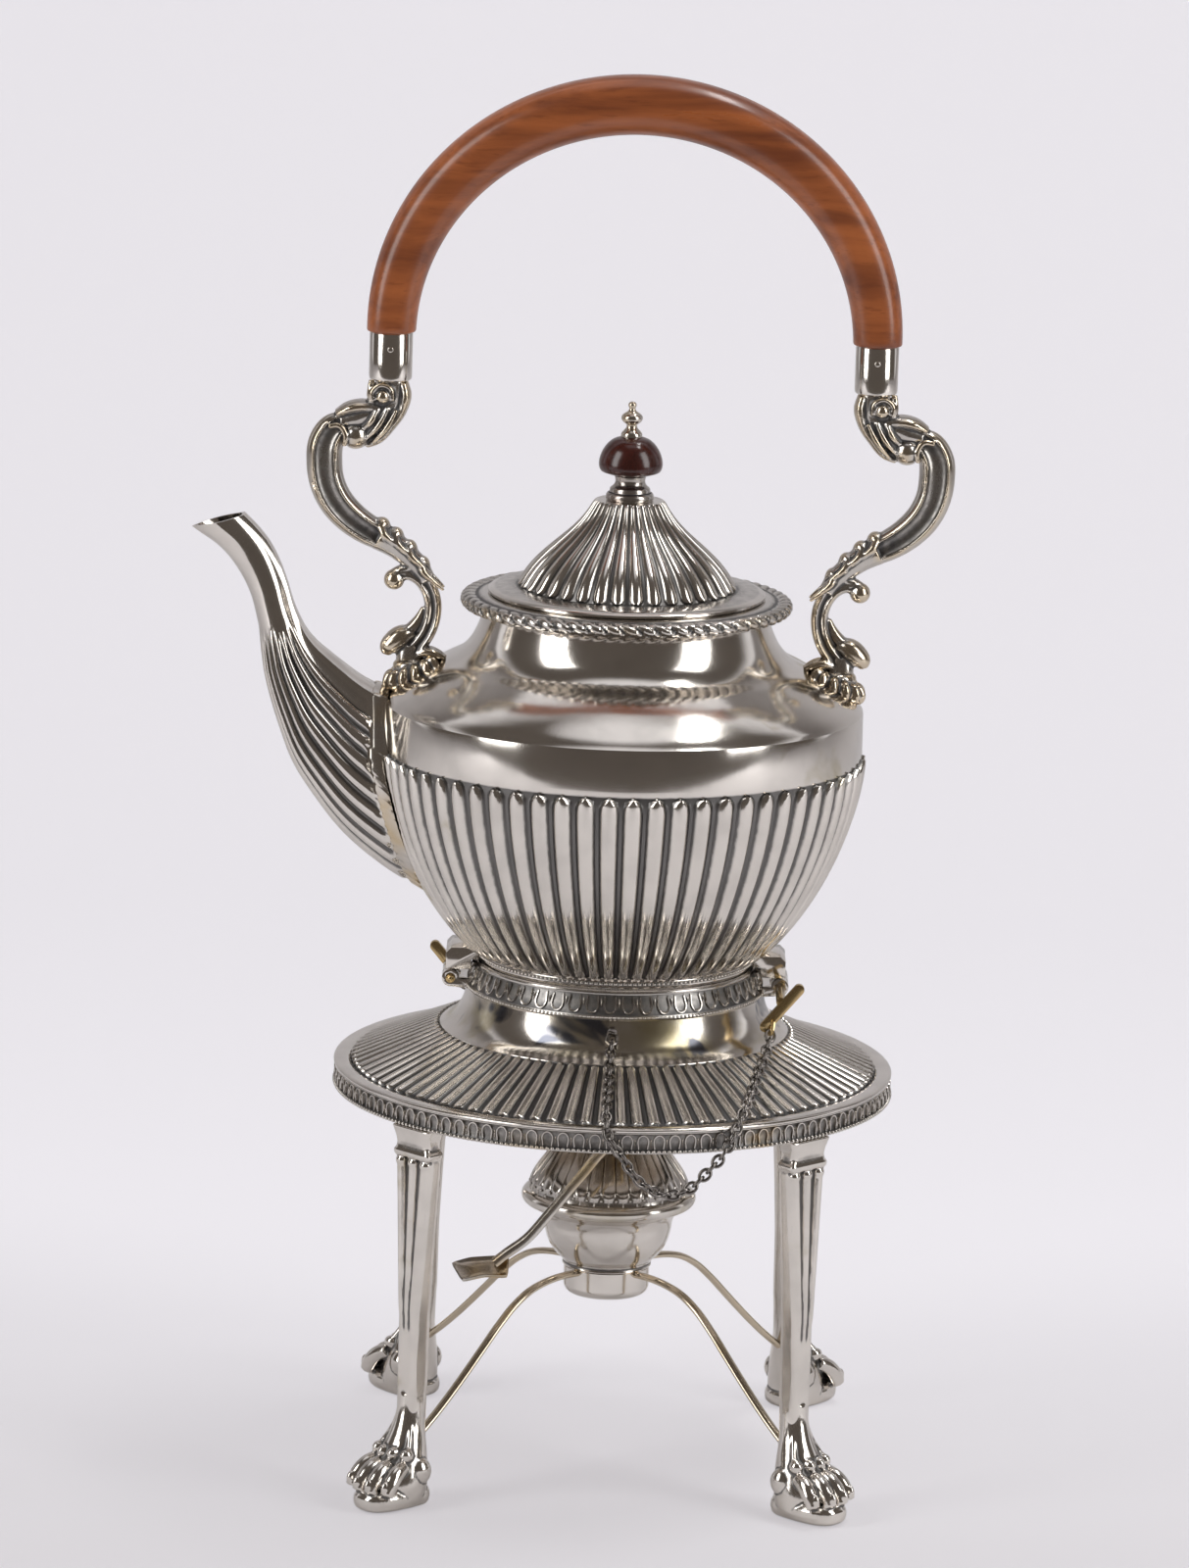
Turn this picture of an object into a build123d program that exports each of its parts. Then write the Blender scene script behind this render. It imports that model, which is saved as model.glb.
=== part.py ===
from build123d import *
import math
import os

os.makedirs("parts", exist_ok=True)

# Tilting tea kettle on a four-legged stand with a spirit burner, in millimetres, +Z up.
# The kettle and its stand share one upright axis. The spout points to -X and the hinges lie across it.

# Overall reach of the kettle on each side of its axis
spout_reach = 121.1
arm_reach = 89.7
axis_x = (spout_reach - arm_reach) / 2

# Sheet metal and fits
body_wall = 1.3
stand_wall = 1.3
spout_wall = 1.2
fit_gap = 0.3
pin_fit = 0.08

# Stand top: a sloping disc of reeds that flares up into a collar
disc_r = 78.5
disc_edge_z = 106.8
border_height = 6.0
border_depth = 1.5
margin_rise = 7.2
margin_width = 4.5
reed_count = 96
reed_foot_rise = 7.8
reed_rise = 9.9
reed_foot_inset = 4.1
reed_top_r = 50.2
reed_bulge = 0.92
rim_flange = 10.5
flare_rise = 11.0
collar_r = 41.7
collar_taper = 3.1
collar_rise = 7.8
collar_strip = 1.2
margin_crest_z = disc_edge_z + margin_rise
margin_r = disc_r - margin_width
reed_foot_z = disc_edge_z + reed_foot_rise
reed_foot_r = disc_r - reed_foot_inset
reed_top_z = reed_foot_z + reed_rise
flare_top_z = reed_top_z + flare_rise
collar_top_z = flare_top_z + collar_rise
collar_top_r = collar_r - collar_taper

# Kettle body: convex flutes up to a plain band, then a shoulder and a short neck
foot_r = collar_top_r
foot_height = 2.6
body_z = collar_top_z + fit_gap + foot_height
flute_height = 56.3
flute_top_z = body_z + flute_height
belly_r = 67.9
flute_count = 64
flute_depth = 1.3
flute_spans = 4
band_r = 66.7
crease_r = 66.2
band_height = 14.1
crease_z = flute_top_z + band_height
shoulder_r = 51.4
shoulder_rise = 10.6
shoulder_z = crease_z + shoulder_rise
neck_r = 39.0
neck_rise = 16.2
neck_z = shoulder_z + neck_rise
rim_r = 46.3
rim_height = 3.6

# Lid: a concave cone of flutes under a spool, a wooden knob and a finial
lid_r = 38.6
lid_gap = 0.1
flange_height = 1.6
cone_foot_r = 34.2
cone_foot_rise = 2.1
cone_foot_z = neck_z + rim_height + lid_gap + cone_foot_rise
cone_top_r = 9.6
cone_height = 24.5
cone_top_z = cone_foot_z + cone_height
cone_sag = 4.6
lid_flutes = 36
lid_flute_depth = 0.9
lid_wall = 1.4
bezel_gap = 0.5
bezel_depth = 7.0
bezel_wall = 1.0
spool_r = 6.6
waist_r = 3.55
spool_top_r = 4.1
spool_height = 6.9
knob_r = 8.8
knob_height = 10.8
finial_r = 3.0
finial_height = 9.9
stem_r = 1.5

# Spout: a flattened swan neck that rises from the belly to a tilted lip
spout_root_drop = 10.5
spout_root_z = flute_top_z - spout_root_drop
spout_bore_r = 1.9

# Handle: wooden arch on ferrules, held by cast scroll arms on shell feet
grip_x = 67.0
waist_z = shoulder_z + 30.0
grip_end_rise = 61.8
grip_end_z = waist_z + grip_end_rise
grip_height = 73.0
grip_top_z = grip_end_z + grip_height
grip_top_r = 8.5
grip_end_r = 7.0
ferrule_r = 6.0
ferrule_length = 13.6
ferrule_wall = 0.9
tenon_length = 9.0
ferrule_pin_r = 0.8
arm_r = 4.0
lower_arm_r = 2.5
shell_r = 9.3

# Hinges: knuckles along Y on both sides, each closed by a drawn pin
hinge_reach = 4.3
hinge_rise = 2.8
hinge_x = collar_r + hinge_reach
hinge_z = flare_top_z + hinge_rise
knuckle_r = 2.4
pin_r = 1.3
hinge_width = 16.0
kettle_knuckle = 5.6
knuckle_gap = 0.3
leaf_rise = 0.8
leaf_top_z = body_z + leaf_rise
leaf_x = hinge_x + 1.4
bracket_top_z = hinge_z - 0.3
bracket_bottom_z = hinge_z - 3.1
pin_head_length = 17.0
pin_head_width = 2.9
pin_head_thickness = 2.0
pin_head_tilt = 50.0
pin_neck = 5.4
pin_tail = 0.4
pin_head_shift = 1.5
tip_r = 1.0

# Chains: oval links from an eye on the collar to the head of each pin
link_length = 4.6
link_width = 3.5
link_wire = 0.9
link_slack = 0.16

# Legs: reeded shafts on paw feet, set on the diagonals, with arched stretchers to the burner ring
leg_inset = 3.5
leg_r = disc_r - leg_inset
leg_offset = leg_r / math.sqrt(2)
block_width = 13.4
block_depth = 7.0
block_height = 8.2
shaft_top_width = 11.7
shaft_low_width = 7.0
shaft_low_z = 52.0
reed_share = 0.145
ankle_z = 27.0
ankle_r = 3.6
paw_width = 20.0
paw_reach = 20.0
paw_heel = 7.0
stretcher_width = 5.0
stretcher_thickness = 2.0
stretcher_low_z = 17.0
stretcher_crest_z = 55.8
stretcher_crest_r = 25.0

# Burner: bowl and dome that drop into a ring, with a hinged snuffer over the wick
ring_r = 12.06
ring_bottom_z = 47.0
ring_top_z = 55.1
ring_wall = 1.4
socket_gap = 0.2
bowl_z = 57.0
bowl_top_r = 18.0
bowl_top_z = 67.1
bulge_r = 24.6
bulge_z = 75.1
bulge_tube_r = 2.2
dome_foot_r = 22.3
dome_foot_z = 78.8
dome_mid_r = 16.4
dome_mid_z = 88.7
dome_top_r = 9.5
dome_top_z = 96.0
burner_wall = 1.0
wick_tube_r = 4.0
wick_tube_z = 101.0
wick_r = 3.1
cap_r = 5.6
cap_height = 5.0
cap_wall = 0.9
cap_drop = 1.5
pivot_x = 8.4
pivot_r = 1.0
lever_y = 30.5
lever_width = 2.6
lever_thickness = 1.6
plate_x = -35.0
plate_z = 60.0
plate_width = 8.0
plate_length = 14.0

centre_axis = Axis((axis_x, 0, 0), (0, 0, 1))
side_plane = Plane(origin=(axis_x, 0, 0), z_dir=(1, 0, 0))
front = Plane(origin=(axis_x, 0, 0), x_dir=(1, 0, 0), z_dir=(0, -1, 0))


def level(z):
    """Horizontal working plane centred on the kettle's axis."""
    return Plane(origin=(axis_x, 0, z))


def upright(y):
    """Working plane parallel to the front view, y behind the axis, x across and y up."""
    return Plane(origin=(axis_x, y, 0), x_dir=(1, 0, 0), z_dir=(0, -1, 0))


def rib(start, crest, end):
    """Corners of one convex rib in three flats, from cusp to cusp."""
    start, crest, end = Vector(*start), Vector(*crest), Vector(*end)
    rise = crest - (start + end) * 0.5
    return [start, start + (end - start) * 0.27 + rise, start + (end - start) * 0.73 + rise, end]


def ring_of_flutes(count, cusp_r, crest_r):
    """Closed outline of convex flutes around the axis, between a cusp and a crest radius."""
    step = 2 * math.pi / count
    with BuildLine() as outline:
        for number in range(count):
            turn = number * step
            start = (cusp_r * math.cos(turn), cusp_r * math.sin(turn))
            crest = (crest_r * math.cos(turn + step / 2), crest_r * math.sin(turn + step / 2))
            end = (cusp_r * math.cos(turn + step), cusp_r * math.sin(turn + step))
            Polyline(*rib(start, crest, end))
    make_face(outline.edges())


def belly(z):
    """Radius of the flute crests at a height on the kettle's bowl."""
    share = (flute_top_z - z) / (flute_top_z - body_z)
    return foot_r + (belly_r - foot_r) * (1 - share**1.6) ** (1 / 1.35)


def cone(z):
    """Radius of the lid's concave cone at a height."""
    share = (z - cone_foot_z) / (cone_top_z - cone_foot_z)
    straight = cone_foot_r + (cone_top_r - cone_foot_r) * share
    return straight - cone_sag * math.sin(math.pi * share) * (1 - 0.45 * share)


def save(piece, name):
    piece.label = name
    export_step(piece, f"parts/{name}.step")


# Kettle body
belly_levels = [body_z + (flute_top_z - body_z) * (n / flute_spans) ** 1.6 for n in range(flute_spans + 1)]
belly_crests = [max(belly(z), foot_r) for z in belly_levels]

with BuildPart() as kettle_body:
    for z, crest in zip(belly_levels, belly_crests):
        with BuildSketch(level(z)):
            ring_of_flutes(flute_count, crest - flute_depth, crest)
    loft(ruled=True)
    with BuildSketch(front):
        with BuildLine():
            Polyline((0, flute_top_z), (band_r, flute_top_z), (crease_r, crease_z))
            Spline(
                (crease_r, crease_z),
                (shoulder_r, shoulder_z),
                (neck_r + 4.0, shoulder_z + 6.4),
                (neck_r, neck_z),
                tangents=((-0.86, 0.5), (-0.12, 1)),
            )
            Polyline((neck_r, neck_z), (0, neck_z), (0, flute_top_z))
        make_face()
    revolve(axis=centre_axis)
    inner_r = [crest - flute_depth - body_wall for crest in belly_crests]
    with BuildSketch(front):
        with BuildLine():
            Polyline(
                (0, neck_z + 1),
                (0, body_z + body_wall),
                (inner_r[0], body_z + body_wall),
                *zip(inner_r[1:], belly_levels[1:]),
                (crease_r - body_wall, crease_z),
            )
            Spline(
                (crease_r - body_wall, crease_z),
                (shoulder_r - body_wall, shoulder_z - 0.6),
                (neck_r + 4.0 - body_wall, shoulder_z + 6.0),
                (neck_r - body_wall, neck_z),
                tangents=((-0.86, 0.5), (-0.12, 1)),
            )
            Polyline((neck_r - body_wall, neck_z), (neck_r - body_wall, neck_z + 1), (0, neck_z + 1))
        make_face()
    revolve(axis=centre_axis, mode=Mode.SUBTRACT)
    spout_side = Plane(origin=(axis_x, 0, spout_root_z), x_dir=(0, 1, 0), z_dir=(-1, 0, 0))
    with BuildSketch(spout_side):
        with GridLocations(5.5, 6.0, 3, 4):
            Circle(spout_bore_r)
    extrude(amount=belly_r + 5, mode=Mode.SUBTRACT)

# Smooth outer envelope of the bowl, foot and band, used to seat what is soldered on
with BuildPart() as body_envelope:
    with BuildSketch(front):
        with BuildLine():
            Polyline(
                (0, body_z - foot_height),
                (foot_r + 0.45, body_z - foot_height),
                (foot_r + 0.45, body_z),
                *[(crest + 0.05, z) for crest, z in zip(belly_crests, belly_levels)],
                (band_r, flute_top_z + 0.01),
                (crease_r, crease_z),
            )
            Spline(
                (crease_r, crease_z),
                (shoulder_r, shoulder_z),
                (neck_r + 4.0, shoulder_z + 6.4),
                (neck_r, neck_z),
                tangents=((-0.86, 0.5), (-0.12, 1)),
            )
            Polyline((neck_r, neck_z), (0, neck_z), (0, body_z - foot_height))
        make_face()
    revolve(axis=centre_axis)

with BuildPart() as kettle_foot:
    with BuildSketch(front):
        with BuildLine():
            Polyline(
                (foot_r - 2.4, body_z),
                (foot_r - 2.4, body_z - foot_height),
                (foot_r - 0.6, body_z - foot_height),
            )
            ThreePointArc(
                (foot_r - 0.6, body_z - foot_height),
                (foot_r + 0.4, body_z - foot_height / 2),
                (foot_r - 0.6, body_z),
            )
            Line((foot_r - 0.6, body_z), (foot_r - 2.4, body_z))
        make_face()
    revolve(axis=centre_axis)

with BuildPart() as kettle_rim:
    with BuildSketch(front):
        with BuildLine():
            Polyline(
                (rim_r - 2.2, neck_z + rim_height * 0.1),
                (neck_r + 0.6, neck_z),
                (neck_r - body_wall, neck_z),
                (neck_r - body_wall, neck_z + rim_height),
                (rim_r - 2.4, neck_z + rim_height),
            )
            ThreePointArc(
                (rim_r - 2.4, neck_z + rim_height),
                (rim_r, neck_z + rim_height * 0.5),
                (rim_r - 2.2, neck_z + rim_height * 0.1),
            )
        make_face()
    revolve(axis=centre_axis)

# Stations along the neck: centre, then half width in the view and half width across, then the lean of the section
spout_stations = [
    (-62.0, spout_root_z - 2.0, 27.0, 17.5, 84),
    (-80.0, spout_root_z + 15.0, 17.6, 12.5, 42),
    (-90.0, spout_root_z + 29.0, 11.0, 9.2, 24),
    (-95.4, spout_root_z + 42.0, 6.9, 7.0, 13),
    (-98.4, spout_root_z + 53.0, 5.7, 6.0, 19),
    (-103.6, spout_root_z + 63.0, 6.3, 5.8, 34),
    (-113.6, spout_root_z + 72.4, 7.7, 5.6, 14),
]


def spout_section(x, z, half_view, half_across, lean, inset):
    """Oval section of the spout, its long axis in the front view and leaning by an angle."""
    turn = math.radians(lean)
    along = (math.cos(turn), 0, math.sin(turn))
    normal = (-math.sin(turn), 0, math.cos(turn))
    section = Plane(origin=(axis_x + x, 0, z), x_dir=along, z_dir=normal)
    with BuildSketch(section) as oval:
        Ellipse(half_view - inset, half_across - inset)
    return oval.sketch


with BuildPart() as spout:
    loft([spout_section(*station, 0) for station in spout_stations])
    loft([spout_section(*station, spout_wall) for station in spout_stations], mode=Mode.SUBTRACT)
    add(body_envelope.part, mode=Mode.SUBTRACT)

with BuildPart() as handle_shell_right:
    with BuildSketch(Plane(origin=(axis_x + 58.5, 0, crease_z + 2.9), x_dir=(1, 0, 0), z_dir=(0.45, 0, 1))):
        Ellipse(shell_r, shell_r * 0.9)
    with BuildSketch(Plane(origin=(axis_x + 59.6, 0, shoulder_z), x_dir=(1, 0, 0), z_dir=(0.2, 0, 1))):
        Ellipse(4.4, 3.6)
    loft()
    add(body_envelope.part, mode=Mode.SUBTRACT)

arm_x = arm_reach - arm_r
with BuildPart() as handle_arm_right:
    # The big scroll, from its inner bulb round to the wrap at the waist
    with BuildLine(front) as upper_path:
        FilletPolyline(
            (arm_x - 8.6, waist_z + 32.3),
            (arm_x - 7.4, waist_z + 38.2),
            (arm_x - 0.6, waist_z + 36.2),
            (arm_x + 0.4, waist_z + 22.8),
            (arm_x - 5.2, waist_z + 10.8),
            (arm_x - 13.5, waist_z + 4.6),
            (arm_x - 24.5, waist_z + 1.0),
            radius=3.4,
        )
    with BuildSketch(Plane(origin=upper_path.line @ 0, z_dir=upper_path.line % 0)):
        RegularPolygon(arm_r, 8, rotation=22.5)
    sweep()
    with Locations((axis_x + arm_x - 9.2, 0, waist_z + 32.1)):
        Sphere(arm_r - 0.2)
    # The lower scroll, from the waist down to the shell foot
    with BuildLine(front) as lower_path:
        FilletPolyline(
            (arm_x - 20.5, waist_z + 2.4),
            (arm_x - 28.4, waist_z - 2.8),
            (arm_x - 33.6, waist_z - 14.0),
            (arm_x - 31.4, waist_z - 23.2),
            (arm_x - 26.6, waist_z - 28.2),
            radius=3.4,
        )
    with BuildSketch(Plane(origin=lower_path.line @ 0, z_dir=lower_path.line % 0)):
        RegularPolygon(lower_arm_r, 8, rotation=22.5)
    sweep()
    with Locations((axis_x + arm_x - 21.8, 0, waist_z - 7.8)):
        Sphere(2.3)
    with BuildSketch(upright(lower_arm_r * 0.6)):
        Polygon(
            (arm_x - 23.4, waist_z - 7.0),
            (arm_x - 21.0, waist_z - 6.2),
            (arm_x - 23.0, waist_z + 0.3),
            (arm_x - 28.0, waist_z - 2.2),
            align=None,
        )
    extrude(amount=lower_arm_r * 1.2)
    # Leaf and small volute that carry the ferrule
    with BuildSketch(upright(arm_r * 0.8)):
        with BuildLine():
            Polyline(
                (grip_x - 3.6, grip_end_z - ferrule_length),
                (grip_x + 3.8, grip_end_z - ferrule_length),
                (grip_x + 4.8, waist_z + 43.3),
                (grip_x + 3.6, waist_z + 40.4),
                (arm_x - 6.4, waist_z + 40.0),
                (arm_x - 8.0, waist_z + 32.3),
                (arm_x - 13.6, waist_z + 29.0),
            )
            ThreePointArc(
                (arm_x - 13.6, waist_z + 29.0), (grip_x - 4.6, waist_z + 37.8), (grip_x - 3.6, grip_end_z - ferrule_length)
            )
        make_face()
    extrude(amount=arm_r * 1.6)

    add(handle_shell_right.part, mode=Mode.SUBTRACT)

with BuildPart() as handle_arm_left:
    mirror(handle_arm_right.part, about=side_plane)

with BuildPart() as handle_shell_left:
    mirror(handle_shell_right.part, about=side_plane)
    add(spout.part, mode=Mode.SUBTRACT)

with BuildPart() as ferrule_right:
    with BuildSketch(Plane(origin=(axis_x + grip_x, 0, grip_end_z - ferrule_length))):
        Circle(ferrule_r)
    extrude(amount=ferrule_length - fit_gap / 3)
    with BuildSketch(Plane(origin=(axis_x + grip_x, 0, grip_end_z - tenon_length - fit_gap))):
        Circle(ferrule_r - ferrule_wall)
    extrude(amount=tenon_length + 2 * fit_gap, mode=Mode.SUBTRACT)
    with BuildSketch(Plane(origin=(axis_x + grip_x, 0, grip_end_z - tenon_length / 2), z_dir=(0, 1, 0))):
        Circle(ferrule_pin_r)
    extrude(amount=ferrule_r * 2, both=True, mode=Mode.SUBTRACT)

with BuildPart() as ferrule_left:
    mirror(ferrule_right.part, about=side_plane)

with BuildPart() as ferrule_pin_right:
    with BuildSketch(Plane(origin=(axis_x + grip_x, 0, grip_end_z - tenon_length / 2), z_dir=(0, 1, 0))):
        Circle(ferrule_pin_r)
    extrude(amount=ferrule_r + 0.2, both=True)

with BuildPart() as ferrule_pin_left:
    mirror(ferrule_pin_right.part, about=side_plane)

# Wooden grip: oval sections along half an ellipse, with a round tenon in each ferrule
grip_rise = grip_top_z - grip_top_r - grip_end_z
with BuildPart() as handle_grip:
    for number in range(9):
        turn = math.radians(-90 + 22.5 * number)
        x = grip_x * math.sin(turn)
        z = grip_end_z + grip_rise * math.cos(turn)
        ahead = Vector(grip_x * math.cos(turn), 0, -grip_rise * math.sin(turn))
        share = math.cos(turn)
        with BuildSketch(Plane(origin=(axis_x + x, 0, z), x_dir=(0, 1, 0), z_dir=ahead)):
            radius = grip_end_r + (grip_top_r - grip_end_r) * share
            Ellipse(radius * 1.02, radius)
    loft()
    with BuildSketch(level(grip_end_z)):
        with Locations((grip_x, 0), (-grip_x, 0)):
            Circle(ferrule_r - ferrule_wall - pin_fit)
    extrude(amount=-tenon_length)
    with BuildSketch(upright(0)):
        with Locations((grip_x, grip_end_z - tenon_length / 2), (-grip_x, grip_end_z - tenon_length / 2)):
            Circle(ferrule_pin_r)
    extrude(amount=ferrule_r * 2, both=True, mode=Mode.SUBTRACT)

# Lid
lid_z = neck_z + rim_height + lid_gap
cone_levels = [cone_foot_z + (cone_top_z - cone_foot_z) * n / 3 for n in range(4)]
with BuildPart() as lid:
    for z in cone_levels:
        depth = lid_flute_depth * (0.35 + 0.65 * cone(z) / cone_foot_r)
        with BuildSketch(level(z)):
            ring_of_flutes(lid_flutes, cone(z) - depth, cone(z))
    loft(ruled=True)
    with BuildSketch(front):
        Polygon(
            (0, lid_z),
            (lid_r - 0.4, lid_z),
            (lid_r, lid_z + flange_height * 0.5),
            (lid_r - 0.8, lid_z + flange_height),
            (cone_foot_r + 0.6, cone_foot_z + 0.2),
            (0, cone_foot_z + 0.2),
            align=None,
        )
    revolve(axis=centre_axis)
    with BuildSketch(front):
        Polygon(
            (0, lid_z - 1),
            (cone_foot_r - lid_flute_depth, lid_z - 1),
            (cone_foot_r - lid_flute_depth, lid_z + 0.8),
            *[(cone(z) - lid_flute_depth - lid_wall, z - 0.5) for z in cone_levels[:-1]],
            (cone_top_r - lid_flute_depth - lid_wall, cone_top_z - lid_wall),
            (0, cone_top_z - lid_wall),
            align=None,
        )
    revolve(axis=centre_axis, mode=Mode.SUBTRACT)
    with BuildSketch(level(cone_top_z)):
        Circle(stem_r + pin_fit)
    extrude(amount=-6, mode=Mode.SUBTRACT)

with BuildPart() as lid_bezel:
    bezel_r = neck_r - body_wall - bezel_gap
    with BuildSketch(level(lid_z - bezel_depth)):
        Circle(bezel_r)
        Circle(bezel_r - bezel_wall, mode=Mode.SUBTRACT)
    extrude(amount=bezel_depth)

spool_top_z = cone_top_z + spool_height
with BuildPart() as knob_spool:
    with BuildSketch(front):
        with BuildLine():
            Polyline(
                (stem_r + pin_fit, spool_top_z),
                (stem_r + pin_fit, cone_top_z),
                (spool_r, cone_top_z),
                (spool_r, cone_top_z + 1.6),
                (waist_r + 1.2, cone_top_z + 2.4),
            )
            ThreePointArc(
                (waist_r + 1.2, cone_top_z + 2.4),
                (waist_r, cone_top_z + 4.4),
                (spool_top_r, spool_top_z - 0.6),
            )
            Polyline((spool_top_r, spool_top_z - 0.6), (spool_top_r, spool_top_z), (stem_r + pin_fit, spool_top_z))
        make_face()
    revolve(axis=centre_axis)

knob_top_z = spool_top_z + knob_height
with BuildPart() as knob:
    with BuildSketch(front):
        with BuildLine():
            Polyline((stem_r + pin_fit, knob_top_z), (stem_r + pin_fit, spool_top_z), (spool_top_r + 1.6, spool_top_z))
            Spline(
                (spool_top_r + 1.6, spool_top_z),
                (knob_r, spool_top_z + knob_height * 0.27),
                (knob_r * 0.72, spool_top_z + knob_height * 0.62),
                (finial_r, knob_top_z),
                tangents=((1, 0.5), (-0.5, 1)),
            )
            Line((finial_r, knob_top_z), (stem_r + pin_fit, knob_top_z))
        make_face()
    revolve(axis=centre_axis)

finial_top_z = knob_top_z + finial_height
with BuildPart() as finial:
    with BuildSketch(front):
        Polygon(
            (0, cone_top_z - 4.2),
            (stem_r, cone_top_z - 4.2),
            (stem_r, knob_top_z),
            (finial_r, knob_top_z),
            (finial_r * 0.8, knob_top_z + 1.4),
            (stem_r, knob_top_z + 2.6),
            (finial_r * 0.86, knob_top_z + 4.4),
            (finial_r, knob_top_z + 5.3),
            (finial_r * 0.8, knob_top_z + 6.3),
            (0.8, knob_top_z + 7.6),
            (1.15, knob_top_z + 8.8),
            (0.8, finial_top_z - 0.3),
            (0, finial_top_z),
            align=None,
        )
    revolve(axis=centre_axis)

with BuildPart() as knob_nut:
    with BuildSketch(level(cone_top_z - lid_wall - 2.2)):
        RegularPolygon(3.2, 6)
        Circle(stem_r + pin_fit, mode=Mode.SUBTRACT)
    extrude(amount=2.2)

# Stand top: reeded disc, flare and collar in one raised sheet
rim_in_r = disc_r - border_depth
collar_in_r = collar_r - collar_strip
collar_top_in_r = collar_top_r - collar_strip
cusp_foot_r = reed_foot_r - math.pi * reed_foot_r / reed_count * reed_bulge
cusp_top_r = reed_top_r - math.pi * reed_top_r / reed_count * reed_bulge
with BuildPart() as stand_top:
    for z, cusp, crest in ((reed_foot_z, cusp_foot_r, reed_foot_r), (reed_top_z, cusp_top_r, reed_top_r)):
        with BuildSketch(level(z)):
            ring_of_flutes(reed_count, cusp, crest)
    loft(ruled=True)
    with BuildSketch(front):
        with BuildLine():
            Polyline(
                (0, disc_edge_z),
                (rim_in_r, disc_edge_z),
                (rim_in_r, disc_edge_z + border_height),
                (disc_r - 0.3, disc_edge_z + border_height),
            )
            ThreePointArc(
                (disc_r - 0.3, disc_edge_z + border_height),
                (disc_r - 0.7, margin_crest_z - 0.2),
                (margin_r, margin_crest_z),
            )
            Polyline((margin_r, margin_crest_z), (cusp_foot_r, reed_foot_z - 0.2), (cusp_top_r, reed_top_z))
            ThreePointArc(
                (cusp_top_r, reed_top_z),
                (collar_r + 1.5, reed_top_z + (flare_top_z - reed_top_z) * 0.4),
                (collar_r, flare_top_z),
            )
            Polyline(
                (collar_r, flare_top_z),
                (collar_in_r, flare_top_z),
                (collar_top_in_r, collar_top_z),
                (0, collar_top_z),
                (0, disc_edge_z),
            )
        make_face()
    revolve(axis=centre_axis)
    with BuildSketch(front):
        with BuildLine():
            Polyline(
                (0, disc_edge_z - 1),
                (rim_in_r - rim_flange, disc_edge_z - 1),
                (rim_in_r - rim_flange, disc_edge_z + stand_wall),
                (rim_in_r - stand_wall, disc_edge_z + stand_wall),
                (rim_in_r - stand_wall, margin_crest_z - stand_wall - 1.2),
                (cusp_foot_r, reed_foot_z - 0.2 - stand_wall),
                (cusp_top_r - 0.5, reed_top_z - stand_wall),
            )
            ThreePointArc(
                (cusp_top_r - 0.5, reed_top_z - stand_wall),
                (collar_r + 0.1, reed_top_z + (flare_top_z - reed_top_z) * 0.32),
                (collar_in_r - stand_wall, flare_top_z - 1),
            )
            Polyline(
                (collar_in_r - stand_wall, flare_top_z - 1),
                (collar_top_in_r - stand_wall, collar_top_z),
                (collar_top_in_r - stand_wall, collar_top_z + 1),
                (0, collar_top_z + 1),
                (0, disc_edge_z - 1),
            )
        make_face()
    revolve(axis=centre_axis, mode=Mode.SUBTRACT)

with BuildPart() as disc_border:
    with BuildSketch(front):
        Polygon(
            (rim_in_r, disc_edge_z),
            (disc_r - 0.5, disc_edge_z),
            (disc_r, disc_edge_z + 0.8),
            (disc_r - 0.4, disc_edge_z + 1.7),
            (disc_r - 0.2, disc_edge_z + border_height - 0.7),
            (disc_r - 0.5, disc_edge_z + border_height),
            (rim_in_r, disc_edge_z + border_height),
            align=None,
        )
    revolve(axis=centre_axis)

collar_face = [
    (collar_r, flare_top_z),
    (collar_r + 0.2, flare_top_z + 0.8),
    (collar_r - 0.6, flare_top_z + 1.6),
    (collar_top_r + 0.7, collar_top_z - 1.4),
    (collar_top_r + 0.7, collar_top_z - 0.5),
    (collar_top_r, collar_top_z),
]
with BuildPart() as collar_border:
    with BuildSketch(front):
        Polygon((collar_in_r, flare_top_z), *collar_face, (collar_top_in_r, collar_top_z), align=None)
    revolve(axis=centre_axis)

with BuildPart() as collar_envelope:
    with BuildSketch(front):
        Polygon((0, flare_top_z - 2), (collar_r + 0.1, flare_top_z - 2), *collar_face, (0, collar_top_z), align=None)
    revolve(axis=centre_axis)

# Hinges: one bracket and one leaf on each side, knuckles stand, kettle, stand
knuckle_room = kettle_knuckle / 2 + knuckle_gap
with BuildPart() as hinge_bracket_right:
    with BuildSketch(upright(hinge_width / 2)):
        Polygon(
            (collar_top_r, bracket_bottom_z),
            (hinge_x, bracket_bottom_z + 0.7),
            (hinge_x, hinge_z + knuckle_r - 1.4),
            (hinge_x - knuckle_r, bracket_top_z),
            (collar_top_r, bracket_top_z),
            align=None,
        )
        with Locations((hinge_x, hinge_z)):
            Circle(knuckle_r)
    extrude(amount=hinge_width)
    with BuildSketch(upright(knuckle_room)):
        with Locations((hinge_x + 5 - knuckle_r - fit_gap, hinge_z)):
            Rectangle(10, 10)
    extrude(amount=2 * knuckle_room, mode=Mode.SUBTRACT)
    with BuildSketch(upright(hinge_width)):
        with Locations((hinge_x, hinge_z)):
            Circle(pin_r + pin_fit)
    extrude(amount=2 * hinge_width, mode=Mode.SUBTRACT)
    add(collar_envelope.part, mode=Mode.SUBTRACT)

with BuildPart() as hinge_bracket_left:
    mirror(hinge_bracket_right.part, about=side_plane)

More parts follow.
